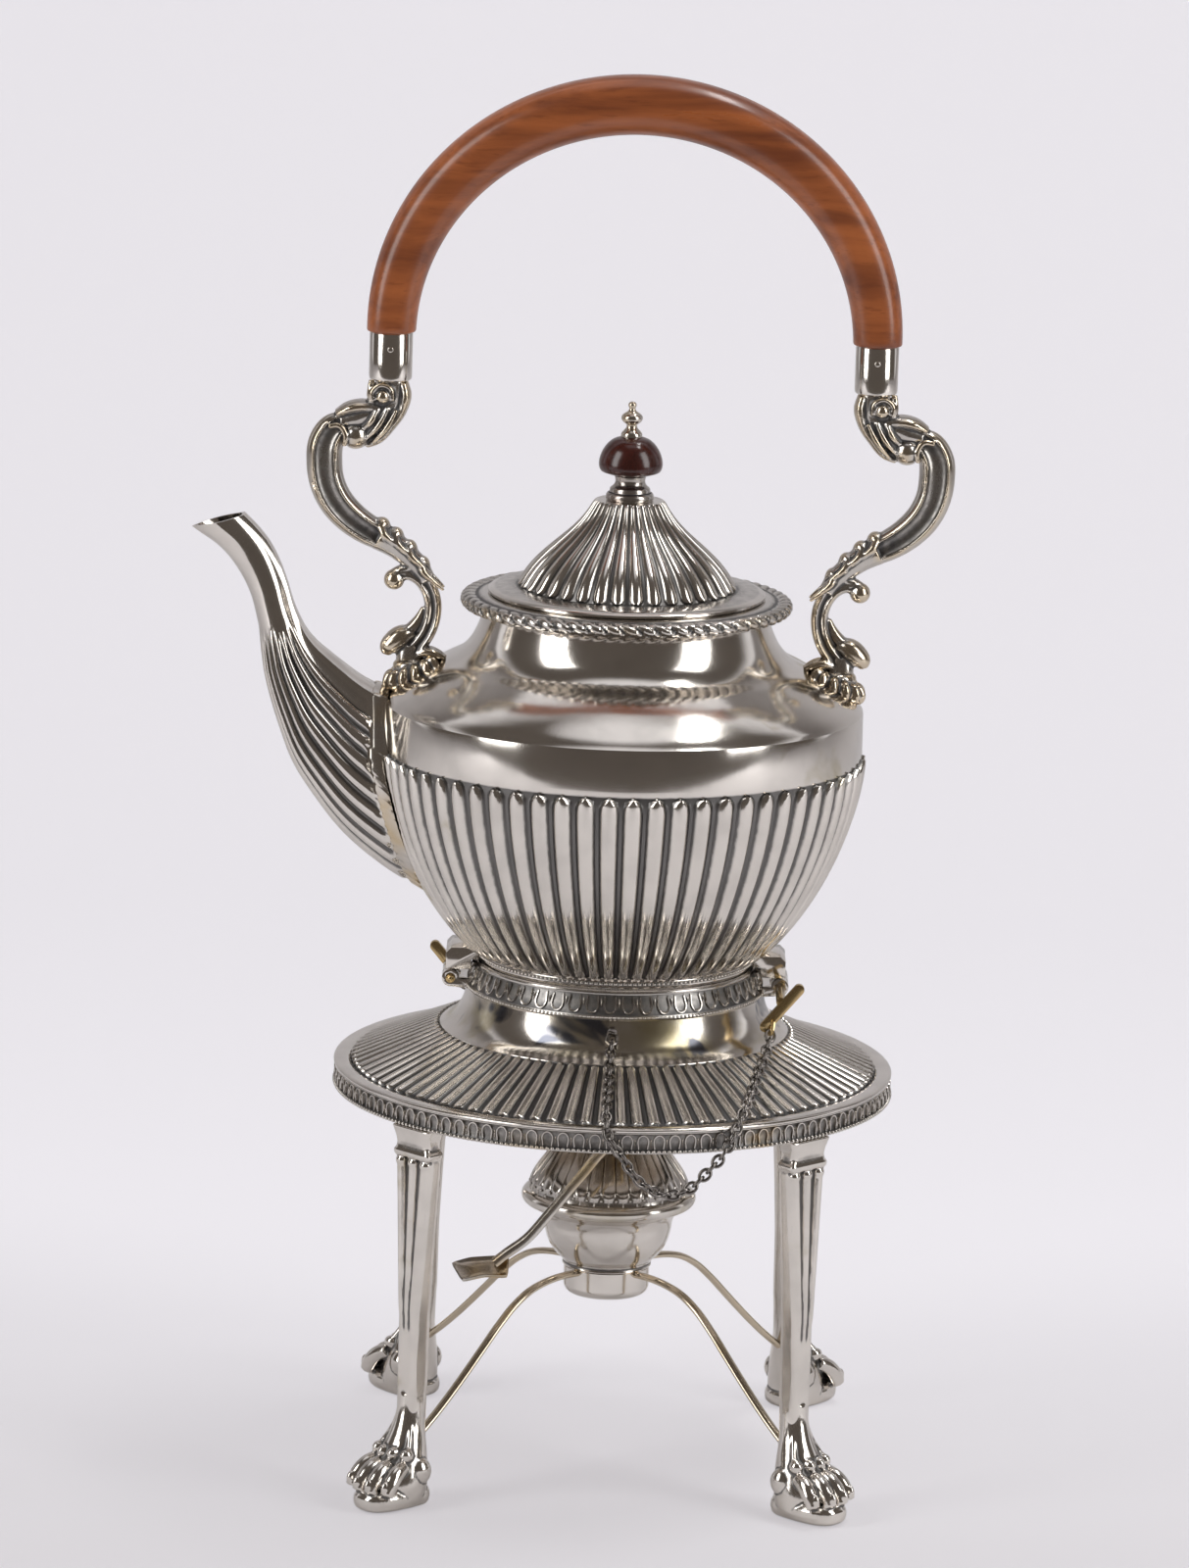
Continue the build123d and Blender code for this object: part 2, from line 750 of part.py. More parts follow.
leaf_bottom_z = hinge_z + knuckle_r + 0.25
foot_z = body_z - foot_height
with BuildPart() as hinge_leaf_right:
    with BuildSketch(upright(hinge_width / 2)):
        Polygon(
            (collar_top_r + 1.8, leaf_bottom_z),
            (leaf_x, leaf_bottom_z),
            (leaf_x, leaf_top_z - 1.4),
            (leaf_x - 1.4, leaf_top_z),
            (foot_r - 1, leaf_top_z),
            (foot_r - 1, foot_z + 0.2),
            (collar_top_r + 1.8, foot_z + 0.2),
            align=None,
        )
    extrude(amount=hinge_width)
    with BuildSketch(upright(kettle_knuckle / 2)):
        with Locations((hinge_x, hinge_z)):
            Circle(knuckle_r)
        Polygon(
            (hinge_x - knuckle_r, hinge_z),
            (hinge_x + knuckle_r * 0.55, hinge_z),
            (hinge_x + knuckle_r * 0.55, leaf_bottom_z + 0.2),
            (hinge_x - knuckle_r, leaf_bottom_z + 0.2),
            align=None,
        )
    extrude(amount=kettle_knuckle)
    with BuildSketch(upright(hinge_width)):
        with Locations((hinge_x, hinge_z)):
            Circle(pin_r + pin_fit)
    extrude(amount=2 * hinge_width, mode=Mode.SUBTRACT)
    add(body_envelope.part, mode=Mode.SUBTRACT)

with BuildPart() as hinge_leaf_left:
    mirror(hinge_leaf_right.part, about=side_plane)


def link_plane(point, along, twist):
    """Plane of one link: x along the chain, z square to the link's face."""
    toward = Vector(0.25, -0.75, 0.6)
    side = along.cross(toward).normalized()
    face = side.cross(along).normalized()
    turn = math.radians(twist)
    normal = face * math.cos(turn) + side * math.sin(turn)
    return Plane(origin=point, x_dir=along, z_dir=normal)


with BuildPart() as link:
    with BuildSketch():
        Polygon(
            (link_length / 2, link_width * 0.2),
            (link_length * 0.28, link_width / 2),
            (-link_length * 0.28, link_width / 2),
            (-link_length / 2, link_width * 0.2),
            (-link_length / 2, -link_width * 0.2),
            (-link_length * 0.28, -link_width / 2),
            (link_length * 0.28, -link_width / 2),
            (link_length / 2, -link_width * 0.2),
            align=None,
        )
        Rectangle(link_length - 2 * link_wire, link_width - 2 * link_wire, mode=Mode.SUBTRACT)
    extrude(amount=link_wire / 2, both=True)

# Course of the front chain: down the reeds, over the edge in a loop and back up to the pin
eye_r = collar_r + 2.6
eye_z = flare_top_z - 4.6
pin_home_y = -hinge_width / 2 - pin_neck
pin_draw = hinge_width / 2 + pin_tail + tip_r + kettle_knuckle / 2 + knuckle_gap
reed_slope = (reed_top_z - reed_foot_z) / (reed_foot_r - reed_top_r)


def over_reeds(x, y, lift):
    """Point above the reeds at a plan position."""
    return (axis_x + x, y, reed_foot_z + (reed_foot_r - math.hypot(x, y)) * reed_slope + lift)


loop_y = -disc_r - 2.0


def chain_course(face_y):
    """Line of a front chain from its eye to the ring of a pin whose head seats at face_y."""
    with BuildLine() as course:
        Spline(
            (axis_x - 0.5, -eye_r, eye_z),
            over_reeds(-0.9, -max(reed_top_r + 0.8, eye_r + 6.7), 2.4),
            over_reeds(-1.2, -65.0, 2.6),
            (axis_x - 1.5, -disc_r + 0.4, margin_crest_z + 2.4),
            (axis_x - 0.6, loop_y - 0.2, disc_edge_z + border_height - 1.0),
            (axis_x + 2.5, loop_y - 0.1, disc_edge_z + 0.6),
            (axis_x + 6.5, loop_y - 0.1, disc_edge_z - 5.2),
            (axis_x + 11.3, loop_y, disc_edge_z - 9.0),
            (axis_x + 16.8, loop_y + 0.3, disc_edge_z - 10.4),
            (axis_x + 22.2, loop_y + 1.0, disc_edge_z - 8.2),
            (axis_x + 26.0, loop_y + 2.0, disc_edge_z - 4.6),
            (axis_x + 30.2, loop_y + 3.9, disc_edge_z),
            (axis_x + 33.4, loop_y + 6.8, disc_edge_z + border_height - 1.0),
            (axis_x + 35.6, loop_y + 11.9, margin_crest_z + 2.9),
            over_reeds(hinge_x - 8.1, -57.0, 2.3),
            over_reeds(hinge_x - 6.2, -46.0, 2.4),
            over_reeds(hinge_x - 4.4, (face_y - 49.0) / 2, 3.0),
            (axis_x + hinge_x - 2.4, face_y - pin_head_thickness - 1.2, hinge_z - 6.6),
        )
    return course.edge()


def links_on(course):
    """Links from the eye on the collar to the ring of the pin, both ends included."""
    count = math.ceil(course.length / (link_length - 2 * link_wire - link_slack))
    shares = [(number / count, 90 * (number % 2)) for number in range(count + 1)]
    planes = [link_plane(course @ share, course % share, twist) for share, twist in shares]
    return [link.part.moved(Location(plane)) for plane in planes]


def half_turn(shape):
    """The same shape on the other side of the axis."""
    return shape.rotate(centre_axis, 180)


# The right pin rests drawn back by pin_draw, the left pin rests fully home
links_right = links_on(chain_course(pin_home_y - pin_draw))
links_left = links_on(chain_course(pin_home_y))
chain_front = Compound(children=links_right[1:-1])
chain_rear = half_turn(Compound(children=links_left[1:-1]))


def eye_on_collar(first_link):
    """Staple that stands on the collar's flare and carries the first link."""
    with BuildPart() as eye:
        add(first_link)
        with BuildSketch(Plane(origin=(axis_x - 0.5, -eye_r + 1.4, eye_z + 1.5), z_dir=(0, 1, 0.12))):
            Circle(1.3)
        extrude(until=Until.NEXT, target=stand_top.part)
    return eye.part


chain_eye_front = eye_on_collar(links_right[0])
chain_eye_rear = half_turn(eye_on_collar(links_left[0]))


def drawn_pin(face_y, ring):
    """Round shaft with a ball tip, a flat bar head and a ring for the chain."""
    tilt = math.radians(pin_head_tilt)
    with BuildPart() as pin:
        with BuildSketch(upright(face_y)):
            with Locations((hinge_x, hinge_z)):
                Circle(pin_r)
        extrude(amount=-(pin_neck + hinge_width + pin_tail))
        with Locations((axis_x + hinge_x, face_y + pin_neck + hinge_width + pin_tail, hinge_z)):
            Sphere(tip_r)
        with BuildSketch(upright(face_y)):
            with Locations((hinge_x + pin_head_shift - 1.8 * math.cos(tilt), hinge_z - 1.8 * math.sin(tilt))):
                SlotOverall(pin_head_length, pin_head_width, rotation=pin_head_tilt)
        extrude(amount=pin_head_thickness)
        add(ring)
    return pin.part


hinge_pin_right = drawn_pin(pin_home_y - pin_draw, links_right[-1])
hinge_pin_left = half_turn(drawn_pin(pin_home_y, links_left[-1]))


# Legs
def leg_level(z):
    """Horizontal plane on the front right leg, x pointing outwards along the diagonal."""
    return Plane(origin=(axis_x + leg_offset, -leg_offset, z), x_dir=(1, -1, 0), z_dir=(0, 0, 1))


def reeded_outline(width, depth, bulge):
    """Flat back and three convex reeds on the outer face."""
    with BuildLine() as outline:
        Polyline((0, -width / 2), (-depth, -width / 2), (-depth, width / 2), (0, width / 2))
        for reed in range(3):
            top = width / 2 - width / 3 * reed
            Polyline(*rib((0, top), (bulge, top - width / 6), (0, top - width / 3)))
    make_face(outline.edges())


def paw_outline(reach, half_width, heel):
    """Rounded heel, straight sides and four toes."""
    knuckles = [(0.55, 1.0), (0.8, 0.5), (0.87, 0.0), (0.8, -0.5), (0.55, -1.0)]
    tips = [(0.84, 0.86), (1.0, 0.26), (1.0, -0.26), (0.84, -0.86)]
    with BuildLine() as outline:
        ThreePointArc((-heel * 0.6, -half_width * 0.72), (-heel, 0), (-heel * 0.6, half_width * 0.72))
        Line((-heel * 0.6, half_width * 0.72), (reach * 0.55, half_width))
        for (x0, y0), (xt, yt), (x1, y1) in zip(knuckles, tips, knuckles[1:]):
            start = (reach * x0, half_width * y0)
            end = (reach * x1, half_width * y1)
            Polyline(*rib(start, (reach * xt, half_width * yt), end))
        Line((reach * 0.55, -half_width), (-heel * 0.6, -half_width * 0.72))
    make_face(outline.edges())


block_z = disc_edge_z - block_height
with BuildPart() as leg_front_right:
    with BuildSketch(leg_level(block_z)):
        RectangleRounded(block_depth, block_width, 1.2)
    extrude(amount=block_height)
    with BuildSketch(leg_level(block_z)):
        reeded_outline(shaft_top_width, block_depth * 0.45, reed_share * shaft_top_width)
    with BuildSketch(leg_level(shaft_low_z)):
        reeded_outline(shaft_low_width, ankle_r * 0.8, reed_share * shaft_low_width)
    loft(ruled=True)
    with BuildSketch(leg_level(shaft_low_z + 1.0)):
        Circle(ankle_r)
    with BuildSketch(leg_level(ankle_z - 2)):
        Circle(ankle_r + 0.2)
    loft(ruled=True)
    for z, reach, half_width, heel in (
        (0.0, paw_reach - 1.2, paw_width / 2 - 0.8, paw_heel),
        (2.6, paw_reach, paw_width / 2, paw_heel + 0.3),
        (8.5, paw_reach - 2.6, paw_width / 2 - 0.6, paw_heel - 1.0),
        (14.5, paw_reach * 0.56, paw_width * 0.39, paw_heel - 2.0),
        (ankle_z, ankle_r + 0.4, ankle_r + 0.2, ankle_r + 0.4),
    ):
        with BuildSketch(leg_level(z)):
            paw_outline(reach, half_width, heel)
    loft(ruled=True)

# Burner ring and the arched flat stretchers that tie it to the legs
with BuildPart() as burner_ring:
    with BuildSketch(front):
        with BuildLine():
            Polyline(
                (ring_r - ring_wall, ring_bottom_z + 1.4),
                (ring_r - ring_wall, ring_top_z),
                (ring_r, ring_top_z),
                (ring_r, ring_bottom_z + 2.4),
            )
            ThreePointArc(
                (ring_r, ring_bottom_z + 2.4),
                (ring_r - 1.1, ring_bottom_z + 0.6),
                (ring_r - 3.6, ring_bottom_z),
            )
            Polyline(
                (ring_r - 3.6, ring_bottom_z),
                (ring_r - 3.6, ring_bottom_z + 1.4),
                (ring_r - ring_wall, ring_bottom_z + 1.4),
            )
        make_face()
    revolve(axis=centre_axis)

diagonal = Plane(origin=(axis_x, 0, 0), x_dir=(1, -1, 0), z_dir=(-1, -1, 0))
# Centre height of the stretcher's arc, level at its crest and passing through the ankle
drop = stretcher_crest_z - stretcher_low_z
run = leg_r - ankle_r - stretcher_crest_r
arch_r = (run**2 + drop**2) / (2 * drop)
arch_z = stretcher_crest_z - arch_r


def arch_point(radius, degrees):
    """Point on a circle about the stretcher's centre of curvature, angle from the upright."""
    turn = math.radians(degrees)
    return (stretcher_crest_r + radius * math.sin(turn), arch_z + radius * math.cos(turn))


arch_start = -math.degrees(math.asin((stretcher_crest_r - ring_r + 0.8) / arch_r))
arch_end = math.degrees(math.acos((stretcher_low_z - arch_z) / arch_r)) + 1.5
arch_middle = (arch_start + arch_end) / 2
low_r = arch_r - stretcher_thickness
with BuildPart() as stretcher_front_right:
    with BuildSketch(diagonal):
        with BuildLine():
            ThreePointArc(arch_point(arch_r, arch_start), arch_point(arch_r, arch_middle), arch_point(arch_r, arch_end))
            Line(arch_point(arch_r, arch_end), arch_point(low_r, arch_end))
            ThreePointArc(arch_point(low_r, arch_end), arch_point(low_r, arch_middle), arch_point(low_r, arch_start))
            Line(arch_point(low_r, arch_start), arch_point(arch_r, arch_start))
        make_face()
    extrude(amount=stretcher_width / 2, both=True)
    with BuildSketch(level(ring_bottom_z)):
        Circle(ring_r)
    extrude(amount=ring_top_z - ring_bottom_z + 5, mode=Mode.SUBTRACT)
    add(leg_front_right.part, mode=Mode.SUBTRACT)

# Burner
with BuildPart() as burner_bowl:
    with BuildSketch(front):
        with BuildLine():
            Polyline(
                (0, ring_bottom_z + 1.4 + socket_gap),
                (ring_r - ring_wall - socket_gap - 0.8, ring_bottom_z + 1.4 + socket_gap),
                (ring_r - ring_wall - socket_gap, ring_bottom_z + 2.4),
                (ring_r - ring_wall - socket_gap, ring_top_z + 0.1),
                (ring_r + 0.6, ring_top_z + 0.1),
                (ring_r + 0.6, bowl_z),
            )
            ThreePointArc(
                (ring_r + 0.6, bowl_z),
                (bowl_top_r - 1.7, bowl_z + 5.4),
                (bowl_top_r, bowl_top_z),
            )
            ThreePointArc(
                (bowl_top_r, bowl_top_z),
                (bowl_top_r + 1.4, bulge_z - bulge_tube_r - 2.0),
                (bulge_r - bulge_tube_r, bulge_z - bulge_tube_r),
            )
            Polyline(
                (bulge_r - bulge_tube_r, bulge_z - bulge_tube_r),
                (bulge_r - bulge_tube_r, bulge_z),
                (bulge_r - bulge_tube_r - burner_wall, bulge_z),
                (bowl_top_r - burner_wall, bowl_top_z),
                (ring_r - 2.4, bowl_z + 1.6),
                (ring_r - 2.8, ring_bottom_z + 3.4),
                (0, ring_bottom_z + 3.4),
                (0, ring_bottom_z + 1.4 + socket_gap),
            )
        make_face()
    revolve(axis=centre_axis)

with BuildPart() as burner_band:
    with BuildSketch(front):
        with BuildLine():
            Line((bulge_r - bulge_tube_r, bulge_z + bulge_tube_r), (bulge_r - bulge_tube_r, bulge_z - bulge_tube_r))
            ThreePointArc(
                (bulge_r - bulge_tube_r, bulge_z - bulge_tube_r),
                (bulge_r + 0.0, bulge_z),
                (bulge_r - bulge_tube_r, bulge_z + bulge_tube_r),
            )
        make_face()
    revolve(axis=centre_axis)

dome_profile = (
    (bulge_r - bulge_tube_r, bulge_z + bulge_tube_r),
    (dome_foot_r, dome_foot_z),
    (dome_mid_r, dome_mid_z),
    (dome_top_r + 1.2, dome_top_z - 1.2),
)
with BuildPart() as burner_dome:
    with BuildSketch(front):
        with BuildLine():
            Line((bulge_r - bulge_tube_r, bulge_z), (bulge_r - bulge_tube_r, bulge_z + bulge_tube_r))
            Spline(*dome_profile)
            Polyline(
                (dome_top_r + 1.2, dome_top_z - 1.2),
                (dome_top_r, dome_top_z),
                (wick_tube_r, dome_top_z),
                (wick_tube_r, dome_top_z - burner_wall),
                (dome_top_r - burner_wall, dome_top_z - burner_wall - 0.4),
            )
            Spline(
                (dome_top_r - burner_wall, dome_top_z - burner_wall - 0.4),
                (dome_mid_r - burner_wall, dome_mid_z - 0.6),
                (dome_foot_r - burner_wall, dome_foot_z - 0.4),
                (bulge_r - bulge_tube_r - burner_wall, bulge_z),
            )
            Line((bulge_r - bulge_tube_r - burner_wall, bulge_z), (bulge_r - bulge_tube_r, bulge_z))
        make_face()
    revolve(axis=centre_axis)

pivot_z = wick_tube_z - cap_drop
ear_y = -8.0
ear_depth = 2.4
with BuildPart() as snuffer_bracket:
    with BuildSketch(upright(ear_y)):
        with BuildLine():
            Polyline((pivot_x - 2.2, pivot_z), (pivot_x - 2.2, dome_top_z - 9), (pivot_x + 2.2, dome_top_z - 9))
            Line((pivot_x + 2.2, dome_top_z - 9), (pivot_x + 2.2, pivot_z))
            ThreePointArc((pivot_x + 2.2, pivot_z), (pivot_x, pivot_z + 2.2), (pivot_x - 2.2, pivot_z))
        make_face()
        with Locations((pivot_x, pivot_z)):
            Circle(pivot_r + pin_fit, mode=Mode.SUBTRACT)
    extrude(amount=ear_depth)
    with BuildSketch(front):
        with BuildLine():
            Polyline((0, dome_top_z - 12), (0, dome_top_z), (dome_top_r, dome_top_z), (dome_top_r + 1.2, dome_top_z - 1.2))
            Spline(*reversed(dome_profile))
            Polyline(dome_profile[0], (bulge_r - bulge_tube_r, dome_top_z - 12 - 11), (0, dome_top_z - 12 - 11), (0, dome_top_z - 12))
        make_face()
    revolve(axis=centre_axis, mode=Mode.SUBTRACT)

with BuildPart() as wick_tube:
    with BuildSketch(level(ring_bottom_z + 5)):
        Circle(wick_tube_r)
        Circle(wick_r, mode=Mode.SUBTRACT)
    extrude(amount=wick_tube_z - ring_bottom_z - 5)

with BuildPart() as wick:
    with BuildSketch(level(ring_bottom_z + 5)):
        Circle(wick_r)
    extrude(amount=wick_tube_z - ring_bottom_z - 5 + 1.2)

with BuildPart() as snuffer_cap:
    with BuildSketch(front):
        Polygon(
            (0, pivot_z + cap_height),
            (cap_r * 0.7, pivot_z + cap_height),
            (cap_r, pivot_z + cap_height - 1.6),
            (cap_r, pivot_z),
            (cap_r - cap_wall, pivot_z),
            (cap_r - cap_wall, pivot_z + cap_height - cap_wall - 0.6),
            (0, pivot_z + cap_height - cap_wall),
            align=None,
        )
    revolve(axis=centre_axis)
    with BuildSketch(upright(1.6)):
        Polygon(
            (cap_r - 0.6, pivot_z + 1.2),
            (pivot_x, pivot_z - 1.4),
            (pivot_x + 1.6, pivot_z),
            (pivot_x, pivot_z + 2.0),
            (cap_r - 0.6, pivot_z + 3.0),
            align=None,
        )
        with Locations((pivot_x, pivot_z)):
            Circle(pivot_r, mode=Mode.SUBTRACT)
    extrude(amount=3.2)

with BuildPart() as snuffer_shaft:
    with BuildSketch(upright(1.6)):
        with Locations((pivot_x, pivot_z)):
            Circle(pivot_r)
    extrude(amount=lever_y + lever_width / 2 + 1.6)

with BuildPart() as snuffer_lever:
    with BuildLine(upright(-lever_y)) as lever_path:
        FilletPolyline(
            (pivot_x, pivot_z),
            (1.0, 98.4),
            (-8.0, 88.0),
            (-17.0, 75.6),
            (-28.2, 65.4),
            (plate_x + plate_length / 2 - 2, plate_z + 2.2),
            radius=3.0,
        )
    with BuildSketch(Plane(origin=lever_path.line @ 0, x_dir=(0, 1, 0), z_dir=lever_path.line % 0)):
        Rectangle(lever_width, lever_thickness)
    sweep()
    with BuildSketch(upright(-lever_y + lever_width / 2)):
        with Locations((pivot_x, pivot_z)):
            Circle(pivot_r + 1.4)
    extrude(amount=lever_width)
    with BuildSketch(upright(-lever_y + lever_width / 2)):
        with Locations((pivot_x, pivot_z)):
            Circle(pivot_r)
    extrude(amount=lever_width, mode=Mode.SUBTRACT)
    with BuildSketch(Plane(origin=(axis_x + plate_x, -lever_y, plate_z), x_dir=(1, 0, 0.16), z_dir=(-0.16, -0.35, 1))):
        Polygon(
            (plate_length / 2, plate_width * 0.3),
            (0, plate_width / 2),
            (-plate_length / 2, plate_width * 0.28),
            (-plate_length / 2 - 1.6, 0),
            (-plate_length / 2, -plate_width * 0.28),
            (0, -plate_width / 2),
            (plate_length / 2, -plate_width * 0.3),
            align=None,
        )
    extrude(amount=lever_thickness)

# Write every piece
for piece, name in (
    (kettle_body.part, "kettle_body"),
    (kettle_foot.part, "kettle_foot"),
    (kettle_rim.part, "kettle_rim"),
    (spout.part, "spout"),
    (handle_shell_left.part.solids().sort_by(SortBy.VOLUME)[-1], "handle_shell_left"),
    (handle_shell_right.part, "handle_shell_right"),
    (handle_arm_left.part, "handle_arm_left"),
    (handle_arm_right.part, "handle_arm_right"),
    (ferrule_left.part, "ferrule_left"),
    (ferrule_right.part, "ferrule_right"),
    (ferrule_pin_left.part, "ferrule_pin_left"),
    (ferrule_pin_right.part, "ferrule_pin_right"),
    (handle_grip.part, "handle_grip"),
    (hinge_leaf_left.part, "hinge_leaf_left"),
    (hinge_leaf_right.part, "hinge_leaf_right"),
    (lid.part, "lid"),
    (lid_bezel.part, "lid_bezel"),
    (knob_spool.part, "knob_spool"),
    (knob.part, "knob"),
    (finial.part, "finial"),
    (knob_nut.part, "knob_nut"),
    (stand_top.part, "stand_top"),
    (disc_border.part, "disc_border"),
    (collar_border.part, "collar_border"),
    (hinge_bracket_left.part, "hinge_bracket_left"),
    (hinge_bracket_right.part, "hinge_bracket_right"),
    (hinge_pin_left, "hinge_pin_left"),
    (hinge_pin_right, "hinge_pin_right"),
    (chain_eye_front, "chain_eye_front"),
    (chain_eye_rear, "chain_eye_rear"),
    (chain_front, "chain_front"),
    (chain_rear, "chain_rear"),
    (burner_ring.part, "burner_ring"),
    (burner_bowl.part, "burner_bowl"),
    (burner_band.part, "burner_band"),
    (burner_dome.part, "burner_dome"),
    (snuffer_bracket.part, "snuffer_bracket"),
    (wick_tube.part, "wick_tube"),
    (wick.part, "wick"),
    (snuffer_cap.part, "snuffer_cap"),
    (snuffer_shaft.part, "snuffer_shaft"),
    (snuffer_lever.part, "snuffer_lever"),
):
    save(piece, name)

for quarter, corner in enumerate(("front_right", "rear_right", "rear_left", "front_left")):
    save(leg_front_right.part.rotate(centre_axis, 90 * quarter), f"leg_{corner}")
    save(stretcher_front_right.part.rotate(centre_axis, 90 * quarter), f"stretcher_{corner}")
print("chain links", len(links_right), len(links_left))
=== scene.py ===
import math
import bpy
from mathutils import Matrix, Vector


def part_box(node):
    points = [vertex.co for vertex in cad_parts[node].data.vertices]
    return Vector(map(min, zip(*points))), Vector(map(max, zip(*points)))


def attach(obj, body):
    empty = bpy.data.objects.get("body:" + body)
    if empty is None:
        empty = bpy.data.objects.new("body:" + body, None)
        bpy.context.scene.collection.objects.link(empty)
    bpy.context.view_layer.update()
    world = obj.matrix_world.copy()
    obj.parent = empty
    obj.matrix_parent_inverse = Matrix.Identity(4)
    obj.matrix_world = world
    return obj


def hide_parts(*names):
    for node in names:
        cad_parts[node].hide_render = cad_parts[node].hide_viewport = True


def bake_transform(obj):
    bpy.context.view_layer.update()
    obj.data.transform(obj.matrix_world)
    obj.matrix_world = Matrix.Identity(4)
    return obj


bl_info = {
    "name": "Tilting Tea Kettle on Stand",
    "version": (1, 0, 0),
    "blender": (4, 5, 0),
    "location": "View3D > Sidebar > Tea Kettle",
    "description": "Dresses the kettle, its four-legged stand and its spirit burner",
    "category": "Add Mesh",
}

import bmesh
import bpy
import numpy as np
from bpy.props import FloatProperty, FloatVectorProperty, IntProperty, PointerProperty
from mathutils import Matrix, Vector

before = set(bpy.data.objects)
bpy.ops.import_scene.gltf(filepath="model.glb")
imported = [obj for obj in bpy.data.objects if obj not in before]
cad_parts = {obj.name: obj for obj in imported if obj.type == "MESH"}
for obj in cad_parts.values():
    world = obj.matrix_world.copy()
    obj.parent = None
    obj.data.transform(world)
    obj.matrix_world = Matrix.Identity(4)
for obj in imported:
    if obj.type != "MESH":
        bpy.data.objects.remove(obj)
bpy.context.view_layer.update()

# Shapes are worked out in millimetres about the kettle's upright axis and put in place in metres
MM = 0.001
body_low, body_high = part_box("kettle_body")
AXIS_X = (body_low.x + body_high.x) / 2 / MM
CORNERS = ("front_right", "rear_right", "rear_left", "front_left")


def length(name, default, about):
    """Size property in metres with a default given in millimetres."""
    return FloatProperty(
        name=name, description=about, default=default * MM, unit="LENGTH", precision=4, min=0.0,
    )


def tint(name, default, about):
    """Colour property."""
    return FloatVectorProperty(
        name=name, description=about, default=default, subtype="COLOR", size=3, min=0.0, max=1.0,
    )


class KettleSizes(bpy.types.PropertyGroup):
    """Sizes of the kettle"""

    belly_radius: length("Belly Radius", 67.9, "Radius over the flutes at their widest")
    foot_radius: length("Foot Radius", 38.6, "Radius of the bowl at its foot")
    flute_count: IntProperty(name="Body Flutes", description="Flutes round the bowl", default=64, min=8)
    flute_depth: length("Flute Depth", 1.7, "Depth of the bowl's flutes")
    rim_ropes: IntProperty(name="Rim Gadroons", description="Slanting lobes round the rim", default=60, min=8)
    lid_flutes: IntProperty(name="Lid Flutes", description="Flutes round the lid", default=36, min=8)
    lid_flute_depth: length("Lid Flute Depth", 1.3, "Depth of the lid's flutes")
    spout_ribs: IntProperty(name="Spout Ribs", description="Ribs on each side of the spout", default=9, min=2)
    spout_flange: length("Spout Flange", 4.8, "Width of the plain flange where the spout meets the bowl")
    grip_radius: length("Grip Radius", 8.5, "Radius of the wooden grip at its top")


class StandSizes(bpy.types.PropertyGroup):
    """Sizes of the stand, its chains and its burner"""

    leg_radius: length("Leg Radius", 75.0, "Distance of the legs from the upright axis")
    reed_count: IntProperty(name="Disc Reeds", description="Reeds round the disc", default=96, min=12)
    border_motifs: IntProperty(
        name="Border Ovals", description="Ovals round the disc's edge", default=112, min=12,
    )
    collar_motifs: IntProperty(name="Collar Ovals", description="Ovals round the collar", default=51, min=12)
    bead_radius: length("Bead Radius", 0.55, "Radius of the small beads on the borders")
    link_length: length("Link Length", 4.6, "Length of a chain link")
    link_width: length("Link Width", 3.5, "Width of a chain link")
    link_wire: length("Link Wire", 0.95, "Thickness of a chain link's wire")
    dome_lobes: IntProperty(
        name="Burner Lobes", description="Engraved lobes round the burner", default=34, min=4,
    )


class Finishes(bpy.types.PropertyGroup):
    """Colours of the finishes"""

    silver: tint("Silver Plate", (0.80, 0.755, 0.70), "Polished silver plate")
    tarnish: tint("Tarnish", (0.050, 0.052, 0.058), "Blue-grey tarnish in the recesses")
    stain: tint("Stain", (0.40, 0.33, 0.15), "Olive-gold heat stain on the plate")
    blot: tint("Blot", (0.085, 0.095, 0.13), "Blue-black blots where the plate was overheated")
    brass: tint("Brass", (0.62, 0.46, 0.23), "Brass where the plate has worn off")
    steel: tint("Chain Steel", (0.24, 0.22, 0.205), "Dark steel of the chains")
    wood: tint("Grip Wood", (0.47, 0.138, 0.042), "Red-brown wood of the grip")
    wood_dark: tint("Wood Streak", (0.17, 0.042, 0.014), "Dark streaks in the grip")
    knob_wood: tint("Knob Wood", (0.075, 0.014, 0.009), "Dark stained wood of the knob")
    cotton: tint("Wick Cotton", (0.62, 0.57, 0.46), "Cotton of the wick")


# Shapes


def smooth_line(points, count):
    """Values evenly spaced along a smooth line through the given points, whatever they hold."""
    points = np.array(points, float)
    gaps = np.linalg.norm(np.diff(points[:, :2], axis=0), axis=1)
    place = np.concatenate(([0.0], np.cumsum(np.maximum(gaps, 1e-6))))
    slope = np.gradient(points, place, axis=0)
    wanted = np.linspace(0.0, place[-1], count)
    part = np.clip(np.searchsorted(place, wanted, side="right") - 1, 0, len(points) - 2)
    span = (place[part + 1] - place[part])[:, None]
    t = ((wanted - place[part])[:, None]) / span
    a, b = points[part], points[part + 1]
    ma, mb = slope[part] * span, slope[part + 1] * span
    return a * (
        2 * t**3 - 3 * t**2 + 1
    ) + ma * (t**3 - 2 * t**2 + t) + b * (3 * t**2 - 2 * t**3) + mb * (t**3 - t**2)


def curve(points, count):
    """Rows of a profile along a smooth line."""
    return [tuple(spot) for spot in smooth_line(points, count)]


